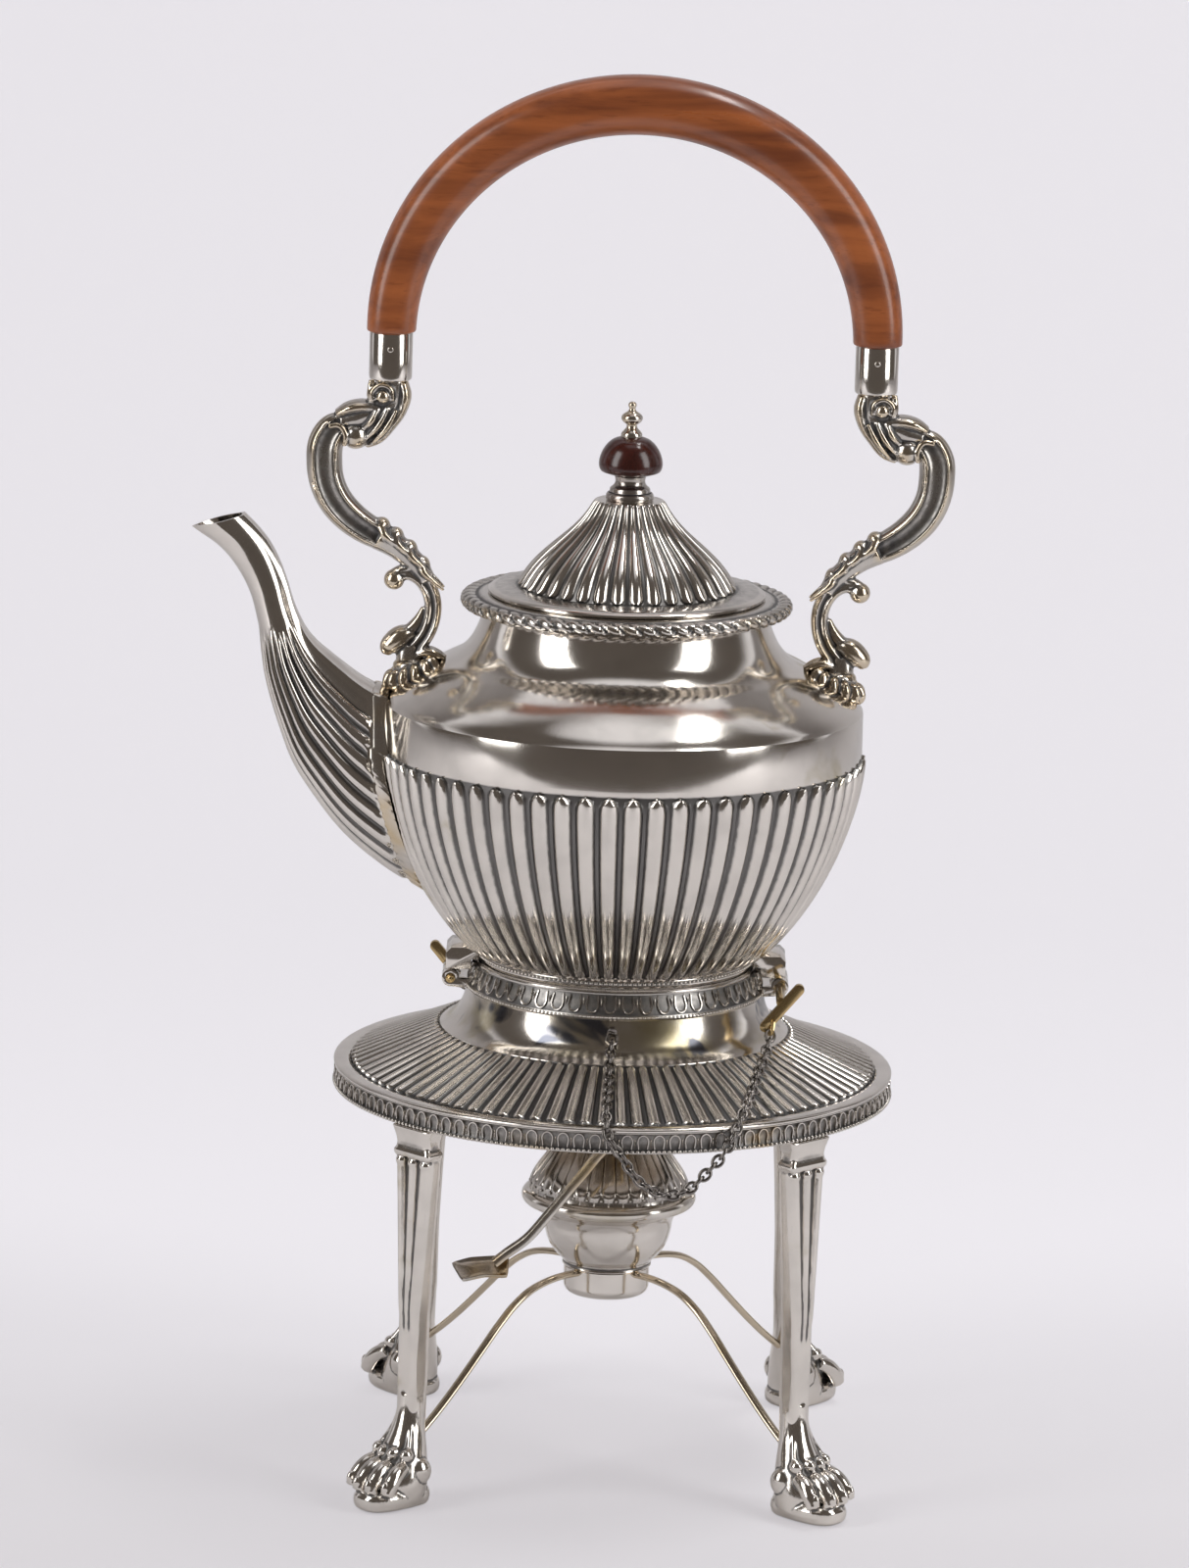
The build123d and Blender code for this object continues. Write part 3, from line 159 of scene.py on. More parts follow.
def skin(rings, ends=True):
    """Corners and faces of a skin over closed rings of equal length."""
    rings = [np.asarray(ring, float) for ring in rings]
    size = len(rings[0])
    corners = [tuple(point) for ring in rings for point in ring]
    faces = []
    for row in range(len(rings) - 1):
        for k in range(size):
            after = (k + 1) % size
            faces.append((row * size + k, row * size + after, (row + 1) * size + after, (row + 1) * size + k))
    if ends:
        faces.append(tuple(reversed(range(size))))
        faces.append(tuple(range((len(rings) - 1) * size, len(rings) * size)))
    return corners, faces


def join_shapes(*shapes):
    """One list of corners and faces from several."""
    corners, faces = [], []
    for more_corners, more_faces in shapes:
        first = len(corners)
        corners += [tuple(point) for point in more_corners]
        faces += [tuple(first + corner for corner in face) for face in more_faces]
    return corners, faces


def gutter_height(across, width, depth):
    """Half thickness of a round bar of radius 1 with a gutter of a width and depth down each face."""
    if width <= abs(across):
        return math.sqrt(max(0.0, 1 - across**2))
    return math.sqrt(1 - width**2) * (1 - depth * math.sqrt(1 - (across / width) ** 2))


def bent_rod(points, sides=16, steps=40, flat=1.0, gutter=(0.0, 0.0)):
    """Rod along points of x, y, z and radius, flattened across the view, with a gutter down both faces."""
    line = smooth_line([(x, z, y, r) for x, y, z, r in points], steps)
    centre = np.stack([line[:, 0], line[:, 2], line[:, 1]], axis=1)
    ahead = np.gradient(centre, axis=0)
    ahead /= np.linalg.norm(ahead, axis=1)[:, None]
    turns = np.linspace(0, 2 * math.pi, sides, endpoint=False) + math.pi / sides
    section = [(math.cos(t), math.copysign(gutter_height(math.cos(t), *gutter), math.sin(t))) for t in turns]
    rings = []
    for point, along, radius in zip(centre, ahead, line[:, 3]):
        out = np.cross(along, (0.0, 1.0, 0.0))
        out /= np.linalg.norm(out)
        side = np.cross(out, along)
        rings.append([point + radius * (a * out + b * flat * side) for a, b in section])
    return skin(rings)


def ball(centre, radii, rows=12, sides=20):
    """Ball or egg about a centre."""
    corners = [(centre[0], centre[1], centre[2] - radii[2])]
    for row in range(1, rows):
        lean = math.pi * row / rows
        for k in range(sides):
            turn = 2 * math.pi * k / sides
            x = centre[0] + radii[0] * math.sin(lean) * math.cos(turn)
            y = centre[1] + radii[1] * math.sin(lean) * math.sin(turn)
            corners.append((x, y, centre[2] - radii[2] * math.cos(lean)))
    corners.append((centre[0], centre[1], centre[2] + radii[2]))
    faces = [(0, 1 + (k + 1) % sides, 1 + k) for k in range(sides)]
    for row in range(rows - 2):
        for k in range(sides):
            a, b = 1 + row * sides + k, 1 + row * sides + (k + 1) % sides
            faces.append((a, b, b + sides, a + sides))
    last = len(corners) - 1
    faces += [(last, last - sides + k, last - sides + (k + 1) % sides) for k in range(sides)]
    return corners, faces


def placed(shape, matrix):
    """The same shape moved by a matrix in millimetres."""
    corners, faces = shape
    return [tuple(matrix @ Vector(point)) for point in corners], faces


# Pieces


def new_piece(name, shape, centre_x=AXIS_X):
    """Object in metres from a shape in millimetres about the kettle's axis."""
    corners, faces = shape
    mesh = bpy.data.meshes.new(name)
    mesh.from_pydata([((x + centre_x) * MM, y * MM, z * MM) for x, y, z in corners], [], faces)
    piece = bpy.data.objects.new(name, mesh)
    bpy.context.scene.collection.objects.link(piece)
    return piece


def plain(piece):
    """Turns what the modifiers make into the piece's own mesh."""
    bpy.context.view_layer.update()
    graph = bpy.context.evaluated_depsgraph_get()
    mesh = bpy.data.meshes.new_from_object(
        piece.evaluated_get(graph), preserve_all_data_layers=True, depsgraph=graph,
    )
    piece.modifiers.clear()
    old = piece.data
    piece.data = mesh
    mesh.name = piece.name
    bpy.data.meshes.remove(old)
    return piece


def face_out(piece, edge=35.0, merge=1e-6):
    """Merges doubles, points the faces outwards and smooths all but the sharp edges."""
    mesh = piece.data
    work = bmesh.new()
    work.from_mesh(mesh)
    bmesh.ops.remove_doubles(work, verts=work.verts, dist=merge)
    bmesh.ops.dissolve_degenerate(work, edges=work.edges, dist=1e-7)
    bmesh.ops.recalc_face_normals(work, faces=work.faces)
    work.to_mesh(mesh)
    work.free()
    mesh.shade_smooth()
    mesh.set_sharp_from_angle(angle=math.radians(edge))
    mesh.update()
    return piece


def break_edges(piece, width, angle):
    """Rounds the edges that are sharper than an angle."""
    bevel = piece.modifiers.new("broken edges", "BEVEL")
    bevel.width = width * MM
    bevel.segments = 2
    bevel.limit_method = "ANGLE"
    bevel.angle_limit = math.radians(angle)
    return plain(piece)


def fused(piece, voxel, rounds):
    """Melts the overlapping forms of a piece into one casting."""
    melt = piece.modifiers.new("melt", "REMESH")
    melt.mode = "VOXEL"
    melt.voxel_size = voxel * MM
    ease = piece.modifiers.new("ease", "SMOOTH")
    ease.factor = 0.5
    ease.iterations = rounds
    return plain(piece)


def store(mesh, name, values, kind="FLOAT", key="value"):
    """Stores values on the points of a mesh."""
    layer = mesh.attributes.get(name) or mesh.attributes.new(name, kind, "POINT")
    layer.data.foreach_set(key, np.asarray(values, np.float32).ravel())


def mark_recesses(piece, *scales):
    """Stores how deep each point lies in a hollow, or how high on a crest, at scales of rounds and depth."""
    mesh = piece.data
    size = len(mesh.vertices)
    place = np.zeros(size * 3)
    mesh.vertices.foreach_get("co", place)
    place = place.reshape(-1, 3)
    normal = np.zeros(size * 3)
    mesh.vertices.foreach_get("normal", normal)
    normal = normal.reshape(-1, 3)
    ends = np.zeros(len(mesh.edges) * 2, int)
    mesh.edges.foreach_get("vertices", ends)
    first, second = ends.reshape(-1, 2).T
    near = np.maximum(np.bincount(ends, minlength=size), 1)
    eased = place
    done = 0
    recess = np.zeros(size)
    for rounds, depth in scales:
        for _ in range(rounds - done):
            total = [
                np.bincount(first, c[second], size) + np.bincount(second, c[first], size) for c in eased.T
            ]
            eased = np.stack(total, axis=1) / near[:, None]
        done = rounds
        sunk = ((eased - place) * normal).sum(axis=1) / (depth * MM)
        recess = np.maximum(recess, np.clip(sunk, 0.0, 1.0))
    store(mesh, "recess", recess)
    store(mesh, "crest", np.clip(-sunk, 0.0, 1.0))
    return piece


def finish_piece(piece, finish, body, *nodes):
    """Gives a piece its finish and lets it stand for CAD nodes on a body."""
    if not piece.data.materials:
        piece.data.materials.append(None)
    piece.data.materials[0] = material_for(finish)
    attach(piece, body)
    if nodes:
        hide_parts(*nodes)
    return piece


def eased_copy(node, width, finish, body):
    """Copy of a CAD node with its edges broken, which stands for that node."""
    piece = bpy.data.objects.new("eased_" + node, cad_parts[node].data.copy())
    bpy.context.scene.collection.objects.link(piece)
    piece.data.materials.clear()
    work = bmesh.new()
    work.from_mesh(piece.data)
    bmesh.ops.remove_doubles(work, verts=work.verts, dist=2e-6)
    bmesh.ops.dissolve_limit(work, angle_limit=math.radians(1.0), verts=work.verts, edges=work.edges)
    work.to_mesh(piece.data)
    work.free()
    break_edges(piece, width, 30.0)
    piece.data.shade_smooth()
    piece.data.set_sharp_from_angle(angle=math.radians(50))
    return finish_piece(piece, finish, body, node)


# Node trees


def add_node(tree, kind, inputs=None, **settings):
    """Node with its settings made and its inputs set to values or linked to sockets."""
    node = tree.nodes.new(kind)
    for name, value in settings.items():
        setattr(node, name, value)
    for key, value in (inputs or {}).items():
        if isinstance(value, bpy.types.NodeSocket):
            tree.links.new(value, node.inputs[key])
        elif value is not None:
            node.inputs[key].default_value = value
    return node


def add_sum(tree, operation, first, second=None, third=None):
    """Math node on values or sockets."""
    return add_node(tree, "ShaderNodeMath", {0: first, 1: second, 2: third}, operation=operation).outputs[0]


def stored(tree, name, kind="FLOAT"):
    """Named attribute as a field."""
    return add_node(tree, "GeometryNodeInputNamedAttribute", {"Name": name}, data_type=kind).outputs[0]


def new_tree(name, inputs):
    """Geometry node tree with named inputs and one geometry in and out."""
    tree = bpy.data.node_groups.new(name, "GeometryNodeTree")
    tree.interface.new_socket("Geometry", in_out="INPUT", socket_type="NodeSocketGeometry")
    for label, kind, default in inputs:
        socket = tree.interface.new_socket(label, in_out="INPUT", socket_type=kind)
        if default is not None:
            socket.default_value = default
    tree.interface.new_socket("Geometry", in_out="OUTPUT", socket_type="NodeSocketGeometry")
    return tree, tree.nodes.new("NodeGroupInput").outputs


def end_tree(tree, source, geometry):
    """Ends a tree in real, smooth, finished geometry."""
    real = add_node(tree, "GeometryNodeRealizeInstances", {0: geometry})
    smooth = add_node(tree, "GeometryNodeSetShadeSmooth", {0: real.outputs[0]})
    coat = add_node(tree, "GeometryNodeSetMaterial", {0: smooth.outputs[0], "Material": source["Finish"]})
    add_node(tree, "NodeGroupOutput", {0: coat.outputs[0]})
    return tree


def run_tree(piece, make, values):
    """Runs a node tree, made once, on a piece with its inputs set, and keeps the result as its mesh."""
    tree = bpy.data.node_groups.get(TREE_NAMES[make]) or make()
    step = piece.modifiers.new(tree.name, "NODES")
    step.node_group = tree
    for item in tree.interface.items_tree:
        if item.item_type == "SOCKET" and item.in_out == "INPUT" and item.name in values:
            step[item.identifier] = values[item.name]
    return plain(piece)


def turned_tree():
    """Turns a profile round the axis and raises convex flutes on it."""
    tree, source = new_tree(
        "turned and fluted",
        [
            ("Flutes", "NodeSocketInt", 64),
            ("Steps", "NodeSocketInt", 512),
            ("Roundness", "NodeSocketFloat", 0.8),
            ("Axis X", "NodeSocketFloat", 0.0),
            ("Finish", "NodeSocketMaterial", None),
        ],
    )
    profile = source["Geometry"]
    rows = add_node(tree, "GeometryNodeAttributeDomainSize", {0: profile}).outputs["Point Count"]
    columns = add_sum(tree, "ADD", source["Steps"], 1.0)
    grid = add_node(tree, "GeometryNodeMeshGrid", {"Vertices X": columns, "Vertices Y": rows})
    index = add_node(tree, "GeometryNodeInputIndex").outputs[0]
    column = add_sum(tree, "FLOOR", add_sum(tree, "DIVIDE", add_sum(tree, "ADD", index, 0.5), rows))
    row = add_sum(tree, "SUBTRACT", index, add_sum(tree, "MULTIPLY", column, rows))

    def at_row(field, kind="FLOAT"):
        inputs = {"Geometry": profile, "Value": field, "Index": row}
        return add_node(tree, "GeometryNodeSampleIndex", inputs, data_type=kind).outputs[0]

    def split_at_row(field):
        return add_node(tree, "ShaderNodeSeparateXYZ", {0: at_row(field, "FLOAT_VECTOR")}).outputs

    place = split_at_row(add_node(tree, "GeometryNodeInputPosition").outputs[0])
    lean = split_at_row(stored(tree, "lean", "FLOAT_VECTOR"))
    rise, width, skew, grime = [at_row(stored(tree, name)) for name in ("rise", "width", "skew", "grime")]

    share = add_sum(tree, "DIVIDE", column, source["Steps"])
    turn = add_sum(tree, "MULTIPLY", share, 2 * math.pi)
    phase = add_sum(tree, "ADD", add_sum(tree, "MULTIPLY", share, source["Flutes"]), skew)
    phase = add_sum(tree, "SUBTRACT", add_sum(tree, "FRACT", phase), 0.5)
    aside = add_sum(tree, "ABSOLUTE", add_sum(tree, "MULTIPLY", phase, 2.0))
    edge = add_sum(tree, "DIVIDE", aside, add_sum(tree, "MAXIMUM", width, 0.001))
    edge = add_sum(tree, "MINIMUM", edge, 1.0)
    dome = add_sum(tree, "SQRT", add_sum(tree, "SUBTRACT", 1.0, add_sum(tree, "MULTIPLY", edge, edge)))
    dome = add_sum(tree, "POWER", dome, source["Roundness"])
    lift = add_sum(tree, "MULTIPLY", rise, dome)
    radius = add_sum(tree, "MULTIPLY_ADD", lean[0], lift, place[0])
    height = add_sum(tree, "MULTIPLY_ADD", lean[2], lift, place[2])
    x = add_sum(tree, "MULTIPLY", radius, add_sum(tree, "COSINE", turn))
    x = add_sum(tree, "ADD", x, source["Axis X"])
    y = add_sum(tree, "MULTIPLY", radius, add_sum(tree, "SINE", turn))
    spot = add_node(tree, "ShaderNodeCombineXYZ", {0: x, 1: y, 2: height}).outputs[0]

    deep = add_sum(tree, "MULTIPLY", add_sum(tree, "SUBTRACT", 1.0, dome), add_sum(tree, "SIGN", rise))
    deep = add_sum(tree, "MAXIMUM", add_sum(tree, "MULTIPLY", deep, deep), grime)
    inputs = {"Geometry": grid.outputs["Mesh"], "Name": "recess", "Value": deep}
    keep = add_node(tree, "GeometryNodeStoreNamedAttribute", inputs, data_type="FLOAT", domain="POINT")
    move = add_node(tree, "GeometryNodeSetPosition", {"Geometry": keep.outputs[0], "Position": spot})
    inputs = {"Geometry": move.outputs[0], "Distance": 2e-6}
    merge = add_node(tree, "GeometryNodeMergeByDistance", inputs)
    return end_tree(tree, source, merge.outputs[0])


def ring_tree():
    """Sets copies of one ornament round the axis."""
    tree, source = new_tree(
        "ring of ornaments",
        [
            ("Count", "NodeSocketInt", 60),
            ("Axis X", "NodeSocketFloat", 0.0),
            ("Finish", "NodeSocketMaterial", None),
        ],
    )
    centre = add_node(tree, "ShaderNodeCombineXYZ", {0: source["Axis X"]}).outputs[0]
    inputs = {"Count": source["Count"], "Offset": (0.0, 0.0, 0.0), "Start Location": centre}
    line = add_node(tree, "GeometryNodeMeshLine", inputs)
    index = add_node(tree, "GeometryNodeInputIndex").outputs[0]
    share = add_sum(tree, "DIVIDE", index, source["Count"])
    turn = add_node(
        tree, "ShaderNodeCombineXYZ", {2: add_sum(tree, "MULTIPLY", share, 2 * math.pi)},
    ).outputs[0]
    inputs = {"Points": line.outputs[0], "Instance": source["Geometry"], "Rotation": turn}
    return end_tree(tree, source, add_node(tree, "GeometryNodeInstanceOnPoints", inputs).outputs[0])


def chain_tree():
    """Sets an oval wire link on every point, turned as the point says."""
    tree, source = new_tree(
        "chain links",
        [
            ("Link Length", "NodeSocketFloat", 0.0046),
            ("Link Width", "NodeSocketFloat", 0.0035),
            ("Link Wire", "NodeSocketFloat", 0.0009),
            ("Finish", "NodeSocketMaterial", None),
        ],
    )
    wire = source["Link Wire"]
    long, wide = [add_sum(tree, "SUBTRACT", source[name], wire) for name in ("Link Length", "Link Width")]
    size = add_node(tree, "ShaderNodeCombineXYZ", {0: long, 1: wide, 2: 1.0}).outputs[0]
    circle = add_node(tree, "GeometryNodeCurvePrimitiveCircle", {"Resolution": 14, "Radius": 0.5}).outputs[0]
    oval = add_node(tree, "GeometryNodeTransform", {"Geometry": circle, "Scale": size}).outputs[0]
    inputs = {"Resolution": 7, "Radius": add_sum(tree, "MULTIPLY", wire, 0.5)}
    section = add_node(tree, "GeometryNodeCurvePrimitiveCircle", inputs).outputs[0]
    sweep = add_node(tree, "GeometryNodeCurveToMesh", {"Curve": oval, "Profile Curve": section}).outputs[0]
    turn = stored(tree, "turn", "FLOAT_VECTOR")
    inputs = {"Points": source["Geometry"], "Instance": sweep, "Rotation": turn}
    return end_tree(tree, source, add_node(tree, "GeometryNodeInstanceOnPoints", inputs).outputs[0])


TREE_NAMES = {turned_tree: "turned and fluted", ring_tree: "ring of ornaments", chain_tree: "chain links"}


def turned(name, rows, finish, body, *nodes, flutes=1, steps=96, roundness=0.8, aside=0.0):
    """Piece turned from rows of radius, height, flute rise, flute width, slant and grime, in millimetres."""
    rows = np.array([tuple(row) + (0.0, 1.0, 0.0, 0.0)[len(row) - 2 :] for row in rows], float)
    mesh = bpy.data.meshes.new(name)
    mesh.from_pydata(
        [(r * MM, 0.0, z * MM) for r, z in rows[:, :2]], [(k, k + 1) for k in range(len(rows) - 1)], [],
    )
    ahead = np.gradient(rows[:, :2], axis=0)
    ahead /= np.maximum(np.linalg.norm(ahead, axis=1), 1e-9)[:, None]
    lean = np.stack([ahead[:, 1], np.zeros(len(rows)), -ahead[:, 0]], axis=1)
    store(mesh, "lean", lean, "FLOAT_VECTOR", "vector")
    for column, label in ((2, "rise"), (3, "width"), (4, "skew"), (5, "grime")):
        store(mesh, label, rows[:, column] * (MM if label == "rise" else 1.0))
    piece = bpy.data.objects.new(name, mesh)
    bpy.context.scene.collection.objects.link(piece)
    inputs = {"Flutes": flutes, "Steps": steps, "Roundness": roundness}
    run_tree(piece, turned_tree, {**inputs, "Axis X": AXIS_X * MM, "Finish": material_for(finish)})
    face_out(piece)
    piece.data.transform(Matrix.Translation((aside * MM, 0.0, 0.0)))
    return finish_piece(piece, finish, body, *nodes)


def ring_of(name, ornament, count, body):
    """Piece made of one cast ornament repeated round the axis."""
    piece = new_piece(name, ornament, centre_x=0.0)
    inputs = {"Count": count, "Axis X": AXIS_X * MM, "Finish": material_for("cast plate")}
    run_tree(piece, ring_tree, inputs)
    face_out(piece, edge=60.0, merge=1e-9)
    return finish_piece(piece, "cast plate", body)


# Finishes


def dimmed(colour, share):
    """Colour times a share."""
    return [part * share for part in colour]


def mix_colours(tree, factor, first, second):
    """Colour between two by a factor."""
    low, high = [c if isinstance(c, bpy.types.NodeSocket) else (*c[:3], 1.0) for c in (first, second)]
    return add_node(tree, "ShaderNodeMix", {"Factor": factor, 6: low, 7: high}, data_type="RGBA").outputs[2]


def noise(tree, place, scale, detail=3.0, roughness=0.5, distortion=0.0):
    """Noise of a scale in features per metre."""
    inputs = {
        "Vector": place, "Scale": scale, "Detail": detail, "Roughness": roughness, "Distortion": distortion,
    }
    return add_node(tree, "ShaderNodeTexNoise", inputs).outputs["Fac"]


def ramp(tree, value, low, high):
    """Smooth step between two values."""
    inputs = {"Value": value, "From Min": low, "From Max": high}
    return add_node(tree, "ShaderNodeMapRange", inputs, interpolation_type="SMOOTHSTEP").outputs[0]


def new_material(name):
    """Empty material with its surface shader and the object's own coordinates."""
    material = bpy.data.materials.new(name)
    material.use_nodes = True
    tree = material.node_tree
    tree.nodes.clear()
    surface = add_node(tree, "ShaderNodeBsdfPrincipled")
    add_node(tree, "ShaderNodeOutputMaterial", {"Surface": surface.outputs[0]})
    place = add_node(tree, "ShaderNodeTexCoord").outputs["Object"]
    return material, tree, surface, place


def bump(tree, surface, layers):
    """Stacks bumps of a height field, a strength and a depth in millimetres."""
    normal = None
    for height, strength, depth in layers:
        inputs = {"Strength": strength, "Distance": depth * MM, "Height": height, "Normal": normal}
        normal = add_node(tree, "ShaderNodeBump", inputs).outputs[0]
    tree.links.new(normal, surface.inputs["Normal"])


def plated_metal(
    name, colour, stain, stained=0.35, dull=0.12, dents=0.35, dark=1.0, cloud=0.12, blot=None, worn=None,
    above=None,
):
    """Old plate: tarnish in the recesses, stains and blots in patches, worn crests, fine wear and soft dents.

    Blot and worn are colours, above is the height in millimetres where stains and blots begin. On the spool
    plate the stain colour is a painted reflection of the wooden knob.
    """
    material, tree, surface, place = new_material(name)
    recess = add_node(tree, "ShaderNodeAttribute", attribute_name="recess").outputs["Fac"]
    patches = noise(tree, place, 38.0, 4.0, 0.55, 0.4)
    specks = noise(tree, place, 420.0, 3.0, 0.6)
    clouds = noise(tree, place, 95.0, 3.0, 0.5)
    shade = mix_colours(tree, ramp(tree, clouds, 0.35, 0.75), colour, dimmed(colour, 1 - cloud))
    stained_share = ramp(tree, patches, 0.72 - stained * 0.3, 0.86 - stained * 0.2)
    zone = 1.0
    if above:
        height = add_node(tree, "ShaderNodeSeparateXYZ", {0: place}).outputs[2]
        zone = ramp(tree, height, (above - 1) * MM, (above + 1) * MM)
        stained_share = add_sum(tree, "MULTIPLY", stained_share, zone)
    shade = mix_colours(tree, add_sum(tree, "MULTIPLY", stained_share, 0.75), shade, stain)
    if blot:
        blots = ramp(tree, noise(tree, place, 52.0, 3.0, 0.5, 0.8), 0.56, 0.64)
        blots = add_sum(tree, "MULTIPLY", blots, zone)
        shade = mix_colours(tree, add_sum(tree, "MULTIPLY", blots, 0.9), shade, blot)
    if worn:
        crest = add_node(tree, "ShaderNodeAttribute", attribute_name="crest").outputs["Fac"]
        rubbed = add_sum(tree, "MULTIPLY", crest, add_sum(tree, "ADD", clouds, 0.35))
        shade = mix_colours(tree, ramp(tree, rubbed, 0.22, 0.62), shade, worn)
    grime = add_sum(tree, "MULTIPLY", recess, add_sum(tree, "MULTIPLY_ADD", specks, 1.0, 0.62))
    grime = add_sum(tree, "MULTIPLY", ramp(tree, grime, 0.12, 0.72), dark)
    shade = mix_colours(tree, grime, shade, bpy.context.scene.finishes.tarnish)
    tree.links.new(shade, surface.inputs["Base Color"])
    surface.inputs["Metallic"].default_value = 1.0
    rough = add_sum(tree, "MULTIPLY_ADD", clouds, 0.10, dull - 0.04)
    rough = add_sum(tree, "MULTIPLY_ADD", stained_share, 0.10, rough)
    rough = add_sum(tree, "MULTIPLY_ADD", grime, 0.30, rough)
    tree.links.new(rough, surface.inputs["Roughness"])
    inputs = {"Vector": place, "Scale": (1.0, 1.0, 0.06), "Rotation": (0.5, 0.9, 0.3)}
    scratches = add_node(tree, "ShaderNodeMapping", inputs).outputs[0]
    fine = noise(tree, scratches, 1500.0, 2.0, 0.6)
    wave = noise(tree, place, 60.0, 2.0, 0.4)
    bump(tree, surface, [(wave, dents, 0.35), (fine, 0.12, 0.05)])
    return material


def grained_wood(name, light, dark, along, gloss):
    """Polished wood with streaks of grain and fine pores."""
    material, tree, surface, place = new_material(name)
    stretched = add_node(tree, "ShaderNodeMapping", {"Vector": place, "Scale": along}).outputs[0]
    streak = noise(tree, stretched, 140.0, 5.0, 0.6, 0.6)
    band = noise(tree, stretched, 32.0, 3.0, 0.5, 0.4)
    pores = noise(tree, stretched, 900.0, 3.0, 0.6)
    figure = add_sum(tree, "MULTIPLY_ADD", band, 0.55, add_sum(tree, "MULTIPLY", streak, 0.55))
    shade = mix_colours(tree, ramp(tree, figure, 0.40, 0.72), light, dark)
    shade = mix_colours(tree, add_sum(tree, "MULTIPLY", ramp(tree, pores, 0.56, 0.70), 0.45), shade, dark)
    tree.links.new(shade, surface.inputs["Base Color"])
    tree.links.new(add_sum(tree, "MULTIPLY_ADD", streak, 0.18, gloss - 0.06), surface.inputs["Roughness"])
    surface.inputs["Coat Weight"].default_value = 0.35
    surface.inputs["Coat Roughness"].default_value = 0.16
    bump(tree, surface, [(pores, 0.12, 0.06)])
    return material


def wick_cotton(name, colour):
    """Twisted cotton."""
    material, tree, surface, place = new_material(name)
    fibre = noise(tree, place, 1400.0, 4.0, 0.6)
    shade = mix_colours(tree, ramp(tree, fibre, 0.3, 0.7), colour, dimmed(colour, 0.6))
    tree.links.new(shade, surface.inputs["Base Color"])
    surface.inputs["Roughness"].default_value = 0.9
    surface.inputs["Sheen Weight"].default_value = 0.3
    bump(tree, surface, [(fibre, 0.6, 0.2)])
    return material


def material_for(finish):
    """Material of a finish by its name, made once."""
    if finish in bpy.data.materials:
        return bpy.data.materials[finish]
    tones = bpy.context.scene.finishes
    silver, brass, steel, stain = tones.silver, tones.brass, tones.steel, tones.stain
    half_worn = [(s + b) / 2 for s, b in zip(silver, brass)]
    metals = {
        # Warm silver plate of the plain parts
        "silver plate": dict(colour=silver, stain=stain, dark=0.8),
        # Silver plate of the burner's bulge, with large heat stains
        "stained plate": dict(
            colour=silver, stain=stain, stained=0.95, cloud=0.22, blot=tones.blot, above=70,
        ),
        # Silver plate of the disc, with large heat stains on its flare only
        "flare plate": dict(colour=silver, stain=stain, stained=0.95, dark=0.9, blot=tones.blot, above=125.5),
        # Brown-stained plate of the burner's dome, its engraved lines bright
        "dome plate": dict(
            colour=dimmed(silver, 0.86), stain=(0.30, 0.21, 0.12), stained=0.95, dark=0.25, cloud=0.3,
        ),
        # Plate of the knob's spool, dulled, with patches of painted red-brown reflection of the wooden knob
        "spool plate": dict(
            colour=dimmed(silver, 0.7), stain=(0.17, 0.07, 0.05), stained=1.0, dull=0.2, dents=0.6,
        ),
        # Plate over castings, dark in every hollow and worn through to brass on the crests
        "cast plate": dict(
            colour=dimmed(silver, 0.8), stain=brass, stained=0.42, dull=0.18, dents=0.5, dark=0.85,
            worn=half_worn,
        ),
        # Plate rubbed through to a yellow tone at the joints
        "worn plate": dict(colour=dimmed(silver, 0.9), stain=brass, stained=0.9, dull=0.14, dents=0.4),
        # Yellowed plate of the stretchers
        "rod plate": dict(colour=half_worn, stain=brass, stained=0.6, dull=0.14, dents=0.3),
        # Brass that shows where the plate has gone
        "worn brass": dict(colour=brass, stain=dimmed(silver, 0.8), stained=0.55, dull=0.2, dents=0.5),
        # Blackened steel of the chains
        "dark steel": dict(colour=steel, stain=dimmed(steel, 2.2), stained=0.5, dull=0.16, dents=0.3),
    }
    if finish in metals:
        return plated_metal(finish, **metals[finish])
    if finish == "wick cotton":
        return wick_cotton(finish, tones.cotton)
    woods = {
        "grip wood": (tones.wood, tones.wood_dark, (0.12, 1.0, 1.0), 0.28),
        "knob wood": (tones.knob_wood, dimmed(tones.knob_wood, 0.35), (1.0, 1.0, 0.3), 0.2),
    }
    return grained_wood(finish, *woods[finish])


# Outlines that several pieces share: heights and radii of the bowl and of the lid's cone

BOWL_FOOT, BOWL_RISE, BOWL_TOP = 146.2, 56.3, 202.5
CONE_FOOT, CONE_RISE, CONE_RADIUS = 249.6, 24.1, 30.4


def belly_radius(z, sizes):
    """Radius over the flutes of the bowl at a height."""
    foot, wide = sizes.foot_radius / MM, sizes.belly_radius / MM
    share = min(max((BOWL_TOP - z) / BOWL_RISE, 0.0), 1.0)
    return foot + (wide - foot) * (1 - share**1.6) ** (1 / 1.35)


SHOULDER = [
    (66.2, 216.6), (64.6, 218.4), (62.0, 220.6), (57.0, 224.0), (51.4, 227.2), (45.9, 230.3), (43.0, 233.6),
    (41.3, 236.9), (40.1, 240.1), (39.0, 243.4),
]


def body_radius(z, sizes):
    """Outer radius of the kettle's body at any height."""
    if z <= BOWL_TOP:
        return belly_radius(max(z, BOWL_FOOT), sizes)
    heights = [202.6] + [spot[1] for spot in SHOULDER]
    radii = [66.7] + [spot[0] for spot in SHOULDER]
    return float(np.interp(z, heights, radii))


def shoulder_height(radius):
    """Height of the shoulder at a distance from the axis."""
    spots = sorted(SHOULDER)
    return float(np.interp(radius, [spot[0] for spot in spots], [spot[1] for spot in spots]))


